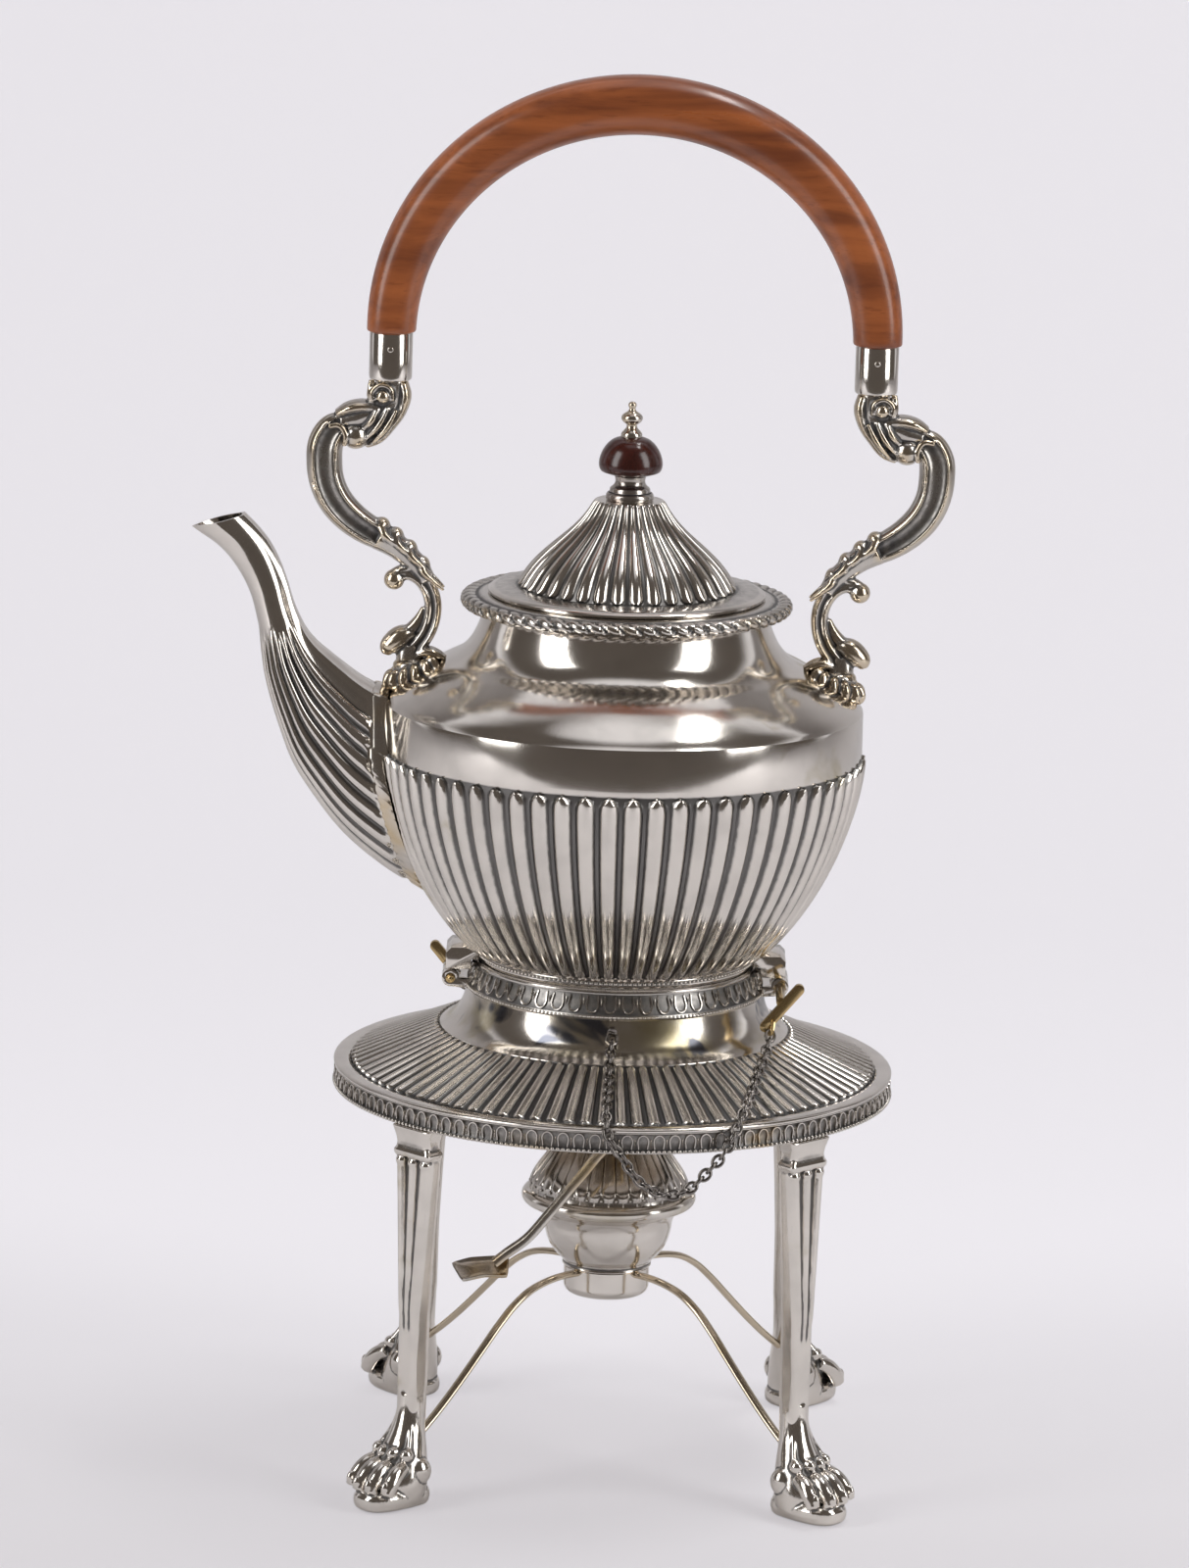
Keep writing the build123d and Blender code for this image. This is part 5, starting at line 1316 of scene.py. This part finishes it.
def link_places(node):
    """Centre and turn of every link of a packed chain."""
    work = bmesh.new()
    work.from_mesh(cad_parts[node].data)
    bmesh.ops.remove_doubles(work, verts=work.verts, dist=2e-6)
    left = set(work.verts)
    centres, turns = [], []
    while left:
        heap = [left.pop()]
        group = []
        while heap:
            corner = heap.pop()
            group.append(corner.co[:])
            for edge in corner.link_edges:
                other = edge.other_vert(corner)
                if other in left:
                    left.discard(other)
                    heap.append(other)
        points = np.array(group)
        _, _, axes = np.linalg.svd(points - points.mean(axis=0))
        turn = Matrix((axes[0], axes[1], np.cross(axes[0], axes[1]))).transposed().to_euler()
        centres.append(tuple(points.mean(axis=0)))
        turns.append(tuple(turn))
    work.free()
    return centres, turns


class KETTLE_OT_chains(bpy.types.Operator):
    """Chains of oval links from the collar to the pins"""

    bl_idname = "kettle.chains"
    bl_label = "Chains"

    def execute(self, context):
        sizes = context.scene.stand_sizes
        for node, pin, sign in (("chain_front", "right_pin", 1), ("chain_rear", "left_pin", -1)):
            centres, turns = link_places(node)
            mesh = bpy.data.meshes.new(node + "_links")
            mesh.from_pydata(centres, [], [])
            store(mesh, "turn", turns, "FLOAT_VECTOR", "vector")
            piece = bpy.data.objects.new(node + "_links", mesh)
            context.scene.collection.objects.link(piece)
            inputs = {
                "Link Length": sizes.link_length, "Link Width": sizes.link_width,
                "Link Wire": sizes.link_wire,
            }
            run_tree(piece, chain_tree, {**inputs, "Finish": material_for("dark steel")})
            face_out(piece, edge=80.0, merge=1e-9)
            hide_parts(node)
            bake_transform(piece)
        return {"FINISHED"}


def squared(value, power):
    """Sine or cosine drawn towards a square's side, its sign kept."""
    return math.copysign(abs(value) ** power, value)


def squared_bar(levels, sides=40):
    """Skin over levels of height, half width, depth behind, depth in front and squareness."""
    rings = []
    for z, half, back, front, power in levels:
        ring = []
        for k in range(sides):
            turn = 2 * math.pi * (k + 0.5) / sides
            a, b = squared(math.cos(turn), power), squared(math.sin(turn), power)
            ring.append((a * (front if a > 0 else back), b * half, z))
        rings.append(ring)
    return skin(rings)


def leg_shape():
    """Front right leg about its own upright line, x pointing outwards."""
    forms = []
    # Hollow-sided block under the disc, with a step where the shaft begins
    block = [
        (98.0, 6.7, 3.8, 2.4),
        (98.8, 7.0, 3.9, 2.9),
        (99.8, 7.0, 3.9, 3.0),
        (100.4, 6.4, 3.6, 2.5),
        (101.8, 6.2, 3.5, 2.3),
        (103.6, 6.5, 3.6, 2.6),
        (105.4, 7.0, 3.8, 3.1),
        (106.75, 7.3, 3.9, 3.6),
    ]
    forms.append(squared_bar([(*level, 0.24) for level in block]))
    # Shaft, nearly square in its plain lower part, its upper front the ground of three reeds
    shaft = []
    for z in np.linspace(98.6, 22.0, 28):
        half = np.interp(z, [22, 30, 38, 52, 66, 80, 92, 98], [3.9, 3.4, 3.4, 3.6, 4.4, 5.4, 6.2, 6.6])
        front = np.interp(z, [22, 32, 52, 98], [3.5, 2.9, 2.5, 0.6])
        back = np.interp(z, [22, 52, 98], [3.7, 3.6, 3.8])
        shaft.append((z, half, back, front, np.interp(z, [22, 34, 98], [0.8, 0.3, 0.22])))
    forms.append(squared_bar(shaft))
    for reed in (-1, 0, 1):
        points = []
        for z in np.linspace(96.4, 48.0, 14):
            pitch = np.interp(z, [50, 97], [1.9, 4.7])
            radius = np.interp(z, [48, 56, 97], [0.5, 0.9, 1.55])
            points.append((np.interp(z, [48, 56, 97], [2.1, 2.4, 1.0]), reed * pitch, z, radius))
        forms.append(bent_rod(points, sides=18, steps=44))
        forms.append(ball((1.2, reed * 4.7, 96.6), (1.8, 1.75, 1.75), 10, 16))
    # Ankle that swells into a smooth heel
    ankle = [
        (0.0, 0, 31.0, 3.3), (0.1, 0, 26.5, 3.8), (0.7, 0, 21.0, 4.7), (1.9, 0, 15.5, 6.2),
        (3.2, 0, 10.0, 7.5), (4.2, 0, 5.0, 8.0), (4.6, 0, 2.0, 7.6),
    ]
    forms.append(bent_rod(ankle, sides=36))
    for side in (-1, 1):
        forms.append(ball((1.6, side * 6.2, 10.0), (3.4, 2.6, 3.8), 12, 18))
    # Tendons that fan out to two rows of knuckles, long toes and oval claws
    for fan in (-1.0, -0.5, 0.0, 0.5, 1.0):
        back = 1.6 * fan**2
        tendon = [
            (2.6 - back * 0.4, fan * 2.2, 27.0, 0.45), (4.4 - back * 0.6, fan * 3.6, 21.0, 0.75),
            (7.4 - back, fan * 5.6, 16.0, 0.9),
        ]
        forms.append(bent_rod(tendon, sides=12, steps=24))
    for toe in (-1.5, -0.5, 0.5, 1.5):
        back = 0.95 * toe**2 - 0.2
        forms.append(ball((8.0 - back * 0.8, toe * 3.7, 15.2), (2.2, 1.75, 1.9), 10, 16))
        digit = [
            (9.6 - back, toe * 3.9, 12.4, 1.9), (12.4 - back, toe * 4.2, 11.2, 2.25),
            (15.2 - back, toe * 4.5, 8.6, 2.3), (17.0 - back, toe * 4.6, 5.4, 2.0),
        ]
        forms.append(bent_rod(digit, sides=20, steps=24, flat=0.94))
        forms.append(ball((17.6 - back, toe * 4.62, 7.6), (1.3, 1.15, 2.1), 10, 16))
    # Rounded sole
    levels = [(0.02, -2.0), (0.9, -0.9), (2.4, -0.5), (4.0, -0.7), (5.4, -1.8)]
    sole = []
    for z, grow in levels:
        ring = []
        for k in range(56):
            turn = 2 * math.pi * k / 56
            reach = 18.9 if math.cos(turn) > 0 else 5.0
            a = squared(math.cos(turn), 0.85) * (reach + grow)
            b = squared(math.sin(turn), 0.75) * (9.1 + grow) * (0.84 + 0.16 * math.cos(turn))
            ring.append((a, b, z))
        sole.append(ring)
    forms.append(skin(sole))
    return join_shapes(*forms)


class KETTLE_OT_legs(bpy.types.Operator):
    """Reeded legs on paw feet"""

    bl_idname = "kettle.legs"
    bl_label = "Legs"

    def execute(self, context):
        reach = context.scene.stand_sizes.leg_radius
        course = [
            (10.6, 54.2), (16.0, 54.4), (23.0, 53.9), (30.0, 52.2), (36.0, 49.0), (42.0, 44.2),
            (48.0, 38.6), (54.0, 33.0), (60.0, 27.6), (66.0, 22.6), (reach / MM - 1.8, 17.2),
        ]
        strap = bent_rod([(x, 0, z, 0.95) for x, z in course], sides=20, steps=70, flat=1.4)
        first = new_piece("first_leg", leg_shape(), centre_x=0.0)
        fused(first, 0.34, 2)
        under_disc = 0.1068
        for corner in first.data.vertices:
            corner.co.z = min(max(corner.co.z, 0.0), under_disc)
        face_out(first, edge=80.0)
        mark_recesses(first, (10, 0.13), (40, 0.45))
        for quarter, corner in enumerate(CORNERS):
            mesh = first.data.copy()
            turn = Matrix.Rotation(math.radians(-45 + 90 * quarter), 4, "Z")
            turn = Matrix.Translation((AXIS_X * MM, 0.0, 0.0)) @ turn
            mesh.transform(turn @ Matrix.Translation((reach, 0.0, 0.0)))
            piece = bpy.data.objects.new(f"paw_leg_{corner}", mesh)
            context.scene.collection.objects.link(piece)
            finish_piece(piece, "silver plate", "stand", f"leg_{corner}")
            node = f"stretcher_{corner}"
            rod = new_piece(f"bent_{node}", strap, centre_x=0.0)
            rod.data.transform(turn)
            face_out(rod, edge=50.0)
            finish_piece(rod, "rod plate", "stand", node)
        bpy.data.objects.remove(first)
        return {"FINISHED"}


class KETTLE_OT_burner(bpy.types.Operator):
    """Burner bowl, dome, bulge and wick in their ring"""

    bl_idname = "kettle.burner"
    bl_label = "Burner"

    def execute(self, context):
        lobes = context.scene.stand_sizes.dome_lobes
        rows = [(10.7, 48.5), (10.7, 55.0), (11.0, 55.1), (11.8, 55.1), (12.05, 54.9), (12.05, 49.6)]
        rows += curve([(12.05, 49.4), (11.6, 48.2), (10.4, 47.3), (8.6, 47.05)], 8)
        rows += [(8.5, 47.1), (8.5, 48.4), (10.7, 48.5)]
        turned("holder_ring", rows, "silver plate", "stand", "burner_ring", steps=96)

        neck = [
            (0.0, 48.7), (9.4, 48.7), (10.3, 49.6), (10.35, 55.15), (12.2, 55.2), (12.55, 55.6),
            (12.4, 56.3, 0, 1, 0, 0.7), (12.7, 57.0),
        ]
        bowl = [
            (12.8, 57.1), (14.9, 59.2), (16.9, 62.6), (17.9, 66.4), (18.2, 68.6), (19.4, 70.9),
            (21.6, 72.4), (22.4, 72.9),
        ]
        rows = neck + curve(bowl, 30) + [
            (22.4, 75.0), (21.4, 75.0), (17.0, 67.1), (9.6, 58.6), (9.2, 50.4), (0.0, 50.4),
        ]
        turned("burner_lower", rows, "silver plate", "burner", "burner_bowl", steps=96)

        side = 22.35
        turns = np.radians(np.linspace(-88, 88, 17))
        bulge = [(side + 2.2 * math.cos(turn), 75.1 + 2.15 * math.sin(turn)) for turn in turns]
        rows = [(side, 72.9), *bulge, (side, 77.3), (side, 72.9)]
        turned("burner_bulge", rows, "stained plate", "burner", "burner_band", steps=96)

        dome = [
            (22.6, 77.6), (22.45, 78.9), (21.4, 81.6), (19.0, 85.2), (16.3, 88.8), (13.6, 92.0),
            (10.6, 94.9),
        ]
        rows = [(22.4, 75.1), (22.4, 77.3)]
        for r, z in smooth_line(dome, 36):
            end = round_end(z - 79.0, 1.6)
            rows.append((r - 0.35, z, 0.35, max(end, 0.01) * 0.93, 0.0, 0.0))
        rows += [
            (9.5, 95.95), (4.0, 96.0), (4.0, 95.1), (8.6, 94.6), (15.4, 88.0), (21.3, 78.0), (21.4, 75.1),
            (22.4, 75.1),
        ]
        turned(
            "burner_upper", rows, "dome plate", "burner", "burner_dome", flutes=lobes, steps=lobes * 16,
            roundness=0.3,
        )
        ring_of("burner_dots", ball((side, 0, 78.9), (0.25, 0.42, 0.42), 5, 8), lobes, "burner")

        rows = [
            (3.15, 52.1), (4.0, 52.1), (4.0, 100.3), (3.8, 100.9), (3.3, 101.0), (3.15, 100.8),
            (3.15, 52.1),
        ]
        turned("wick_sleeve", rows, "worn brass", "burner", "wick_tube", steps=48)
        twist = [(2.6, z, 0.45, 1.0, z * 0.12, 0.0) for z in np.linspace(52.3, 101.4, 40)]
        rows = [(0.0, 52.1), (2.4, 52.1), *twist, (1.8, 101.9, 0.3, 1.0, 12.2, 0), (0.0, 102.1)]
        turned("twisted_wick", rows, "wick cotton", "burner", "wick", flutes=6, steps=48)
        eased_copy("snuffer_bracket", 0.3, "silver plate", "burner")
        return {"FINISHED"}


class KETTLE_OT_snuffer(bpy.types.Operator):
    """Hinged snuffer cap with its shaft, ridged lever and thumb plate"""

    bl_idname = "kettle.snuffer"
    bl_label = "Snuffer"

    def execute(self, context):
        eased_copy("snuffer_cap", 0.35, "silver plate", "snuffer")
        eased_copy("snuffer_shaft", 0.2, "worn brass", "snuffer")
        course = [
            (8.4, 99.6), (1.0, 97.9), (-8.0, 88.0), (-17.0, 76.4), (-22.6, 69.6), (-28.2, 65.2),
            (-31.2, 62.6),
        ]
        line = smooth_line(course, 60)
        ahead = np.gradient(line, axis=0)
        ahead /= np.linalg.norm(ahead, axis=1)[:, None]
        section = [
            (-1.3, -0.7), (-1.35, 0.1), (-1.1, 0.5), (-0.45, 0.55), (-0.2, 0.95), (0.2, 0.95), (0.45, 0.55),
            (1.1, 0.5), (1.35, 0.1), (1.3, -0.7), (0.9, -0.85), (-0.9, -0.85),
        ]
        lever_y, thick, wide = -30.5, 1.5, 1.25
        rings = []
        for (x, z), (dx, dz) in zip(line, ahead):
            up = np.array((-dz, dx)) * (-thick if dx < 0 else thick)
            rings.append([(x + up[0] * h, lever_y + w * wide, z + up[1] * h) for w, h in section])
        corners, faces = skin(rings)
        # Shield-shaped thumb plate, tilted forwards, with a turned-up lip
        shield = [(-8.0, 3.0), (-2.7, 4.1), (8.1, 3.3), (7.3, -4.2), (0.8, -2.9), (-5.4, -3.8)]
        outline = []
        for k, corner in enumerate(shield):
            corner, before, after = np.array(corner), np.array(shield[k - 1]), np.array(shield[(k + 1) % 6])
            outline += [
                corner * 0.8 + before * 0.2, corner * 0.93 + (before + after) * 0.035,
                corner * 0.8 + after * 0.2,
            ]
        normal = np.array((-0.12, -0.60, 0.79))
        normal /= np.linalg.norm(normal)
        along = np.array((0.99, 0.0, 0.15))
        side = np.cross(normal, along)
        middle = np.array((-35.0, lever_y, 60.4))
        plate = []
        levels = ((0.0, 0.92), (0.15, 0.99), (0.9, 1.02), (1.25, 0.97), (1.0, 0.88), (0.55, 0.72), (0.4, 0.3))
        for lift, share in levels:
            plate.append([middle + normal * lift + (along * a + side * b) * share for a, b in outline])
        lever = new_piece("ridged_lever", join_shapes((corners, faces), skin(plate)))
        face_out(lever, edge=38.0)
        finish_piece(lever, "worn plate", "snuffer", "snuffer_lever")
        return {"FINISHED"}


class KETTLE_OT_stage(bpy.types.Operator):
    """Pale floor and backdrop, soft lights and the camera"""

    bl_idname = "kettle.stage"
    bl_label = "Stage"

    def execute(self, context):
        scene = context.scene
        scene.view_settings.view_transform = "Standard"
        paper, tree, surface, place = new_material("pale paper")
        surface.inputs["Base Color"].default_value = (0.86, 0.85, 0.875, 1.0)
        surface.inputs["Roughness"].default_value = 0.9
        to_camera = add_node(tree, "ShaderNodeLightPath").outputs["Is Camera Ray"]
        # For the camera the sheet glows with painted shade, darker towards the front and lighter farther back
        farther = ramp(tree, add_node(tree, "ShaderNodeSeparateXYZ", {0: place}).outputs[1], -0.2, 0.3)
        painted_glow = mix_colours(tree, farther, (0.72, 0.69, 0.72), (1.06, 1.03, 1.09))
        painted_glow = add_node(tree, "ShaderNodeEmission", {"Color": painted_glow}).outputs[0]
        seen = add_sum(tree, "MULTIPLY", to_camera, 0.55)
        front = add_node(tree, "ShaderNodeMixShader", {0: seen, 1: surface.outputs[0], 2: painted_glow}).outputs[0]
        # The sheet's back is clear to the camera, which may look from behind it or from below
        back = add_node(tree, "ShaderNodeNewGeometry").outputs["Backfacing"]
        back = add_sum(tree, "MULTIPLY", to_camera, back)
        clear = add_node(tree, "ShaderNodeBsdfTransparent").outputs[0]
        both = add_node(tree, "ShaderNodeMixShader", {0: back, 1: front, 2: clear}).outputs[0]
        tree.links.new(both, tree.nodes["Material Output"].inputs["Surface"])

        low, near, far, bend, top = -0.0004, -0.62, 0.7, 0.5, 2.2
        turns = np.radians(np.linspace(10, 90, 9))
        course = [(far + bend * math.sin(turn), bend + low - bend * math.cos(turn)) for turn in turns]
        corners = []
        for y, z in [(near, low), (far, low), *course, (far + bend, top)]:
            corners += [(-2.2, y, z), (2.2, y, z)]
        faces = [(k, k + 1, k + 3, k + 2) for k in range(0, len(corners) - 2, 2)]
        mesh = bpy.data.meshes.new("paper_sweep")
        mesh.from_pydata(corners, [], faces)
        mesh.shade_smooth()
        mesh.materials.append(paper)
        sweep = bpy.data.objects.new("paper_sweep", mesh)
        scene.collection.objects.link(sweep)

        # The room is dark in front, so that the plate shows contrast, and pale behind and overhead
        world = bpy.data.worlds.new("studio")
        scene.world = world
        world.use_nodes = True
        tree = world.node_tree
        tree.nodes.clear()
        direction = add_node(tree, "ShaderNodeTexCoord").outputs["Generated"]
        direction = add_node(tree, "ShaderNodeSeparateXYZ", {0: direction}).outputs
        not_behind = add_sum(tree, "SUBTRACT", 1.0, ramp(tree, direction[1], 0.2, 0.45))
        not_overhead = add_sum(tree, "SUBTRACT", 1.0, ramp(tree, direction[2], 0.93, 0.99))
        dark = add_sum(tree, "MULTIPLY", not_behind, not_overhead)
        shade = mix_colours(tree, dark, (0.86, 0.85, 0.88), (0.10, 0.086, 0.076))
        room = add_node(tree, "ShaderNodeBackground", {"Color": shade}).outputs[0]
        seen = add_node(tree, "ShaderNodeBackground", {"Color": (0.83, 0.81, 0.87, 1.0)}).outputs[0]
        to_camera = add_node(tree, "ShaderNodeLightPath").outputs["Is Camera Ray"]
        both = add_node(tree, "ShaderNodeMixShader", {0: to_camera, 1: room, 2: seen}).outputs[0]
        add_node(tree, "ShaderNodeOutputWorld", {"Surface": both})

        centre = Vector((AXIS_X * MM, 0.0, 0.19))
        for name, place, size, power in (
            ("left soft box", (-1.08, -0.63, 0.55), (0.5, 1.3), 8.0),
            ("right soft box", (1.08, -0.63, 0.55), (0.5, 1.3), 8.0),
            ("strip lamp", (0.48, 0.09, 1.4), (0.6, 0.16), 5.0),
        ):
            lamp = bpy.data.lights.new(name, "AREA")
            lamp.shape = "RECTANGLE"
            lamp.size, lamp.size_y = size
            lamp.energy = power
            lamp_object = bpy.data.objects.new(name, lamp)
            lamp_object.location = centre + Vector(place)
            lamp_object.rotation_euler = (-Vector(place)).to_track_quat("-Z", "Y").to_euler()
            scene.collection.objects.link(lamp_object)

        camera = bpy.data.cameras.new("camera")
        camera.lens = 244.1
        camera.sensor_width = 36.0
        camera.sensor_fit = "HORIZONTAL"
        camera.clip_end = 20.0
        left_of_axis, roll = 7.4, math.radians(1.7)
        eye = Vector(((AXIS_X - left_of_axis) * MM, -2.2, 0.65))
        target = Vector(((AXIS_X - left_of_axis) * MM, 0.0, 0.1931))
        ahead = (target - eye).normalized()
        right = Vector((1.0, 0.0, 0.0))
        up = right.cross(ahead)
        across = right * math.cos(roll) + up * math.sin(roll)
        up = up * math.cos(roll) - right * math.sin(roll)
        turn = Matrix((across, up, -ahead)).transposed()
        camera_object = bpy.data.objects.new("camera", camera)
        camera_object.matrix_world = Matrix.Translation(eye) @ turn.to_4x4()
        scene.collection.objects.link(camera_object)
        scene.camera = camera_object
        return {"FINISHED"}


PIECES = (
    KETTLE_OT_stage,
    KETTLE_OT_body,
    KETTLE_OT_rim,
    KETTLE_OT_lid,
    KETTLE_OT_knob,
    KETTLE_OT_spout,
    KETTLE_OT_arms,
    KETTLE_OT_grip,
    KETTLE_OT_stand_top,
    KETTLE_OT_borders,
    KETTLE_OT_hinges,
    KETTLE_OT_chains,
    KETTLE_OT_legs,
    KETTLE_OT_burner,
    KETTLE_OT_snuffer,
)


class KETTLE_PT_panel(bpy.types.Panel):
    """Lists the kettle's pieces, sizes and finishes"""

    bl_label = "Tea Kettle"
    bl_idname = "KETTLE_PT_panel"
    bl_space_type = "VIEW_3D"
    bl_region_type = "UI"
    bl_category = "Tea Kettle"

    def draw(self, context):
        for piece in PIECES:
            self.layout.operator(piece.bl_idname)
        for group in (context.scene.kettle_sizes, context.scene.stand_sizes, context.scene.finishes):
            for name in group.__annotations__:
                self.layout.prop(group, name)


CLASSES = (KettleSizes, StandSizes, Finishes, *PIECES, KETTLE_PT_panel)


def register():
    for item in CLASSES:
        bpy.utils.register_class(item)
    bpy.types.Scene.kettle_sizes = PointerProperty(type=KettleSizes)
    bpy.types.Scene.stand_sizes = PointerProperty(type=StandSizes)
    bpy.types.Scene.finishes = PointerProperty(type=Finishes)


def unregister():
    del bpy.types.Scene.finishes
    del bpy.types.Scene.stand_sizes
    del bpy.types.Scene.kettle_sizes
    for item in reversed(CLASSES):
        bpy.utils.unregister_class(item)


def main():
    register()
    for piece in PIECES:
        group, name = piece.bl_idname.split(".")
        getattr(getattr(bpy.ops, group), name)()


if __name__ == "__main__":
    main()
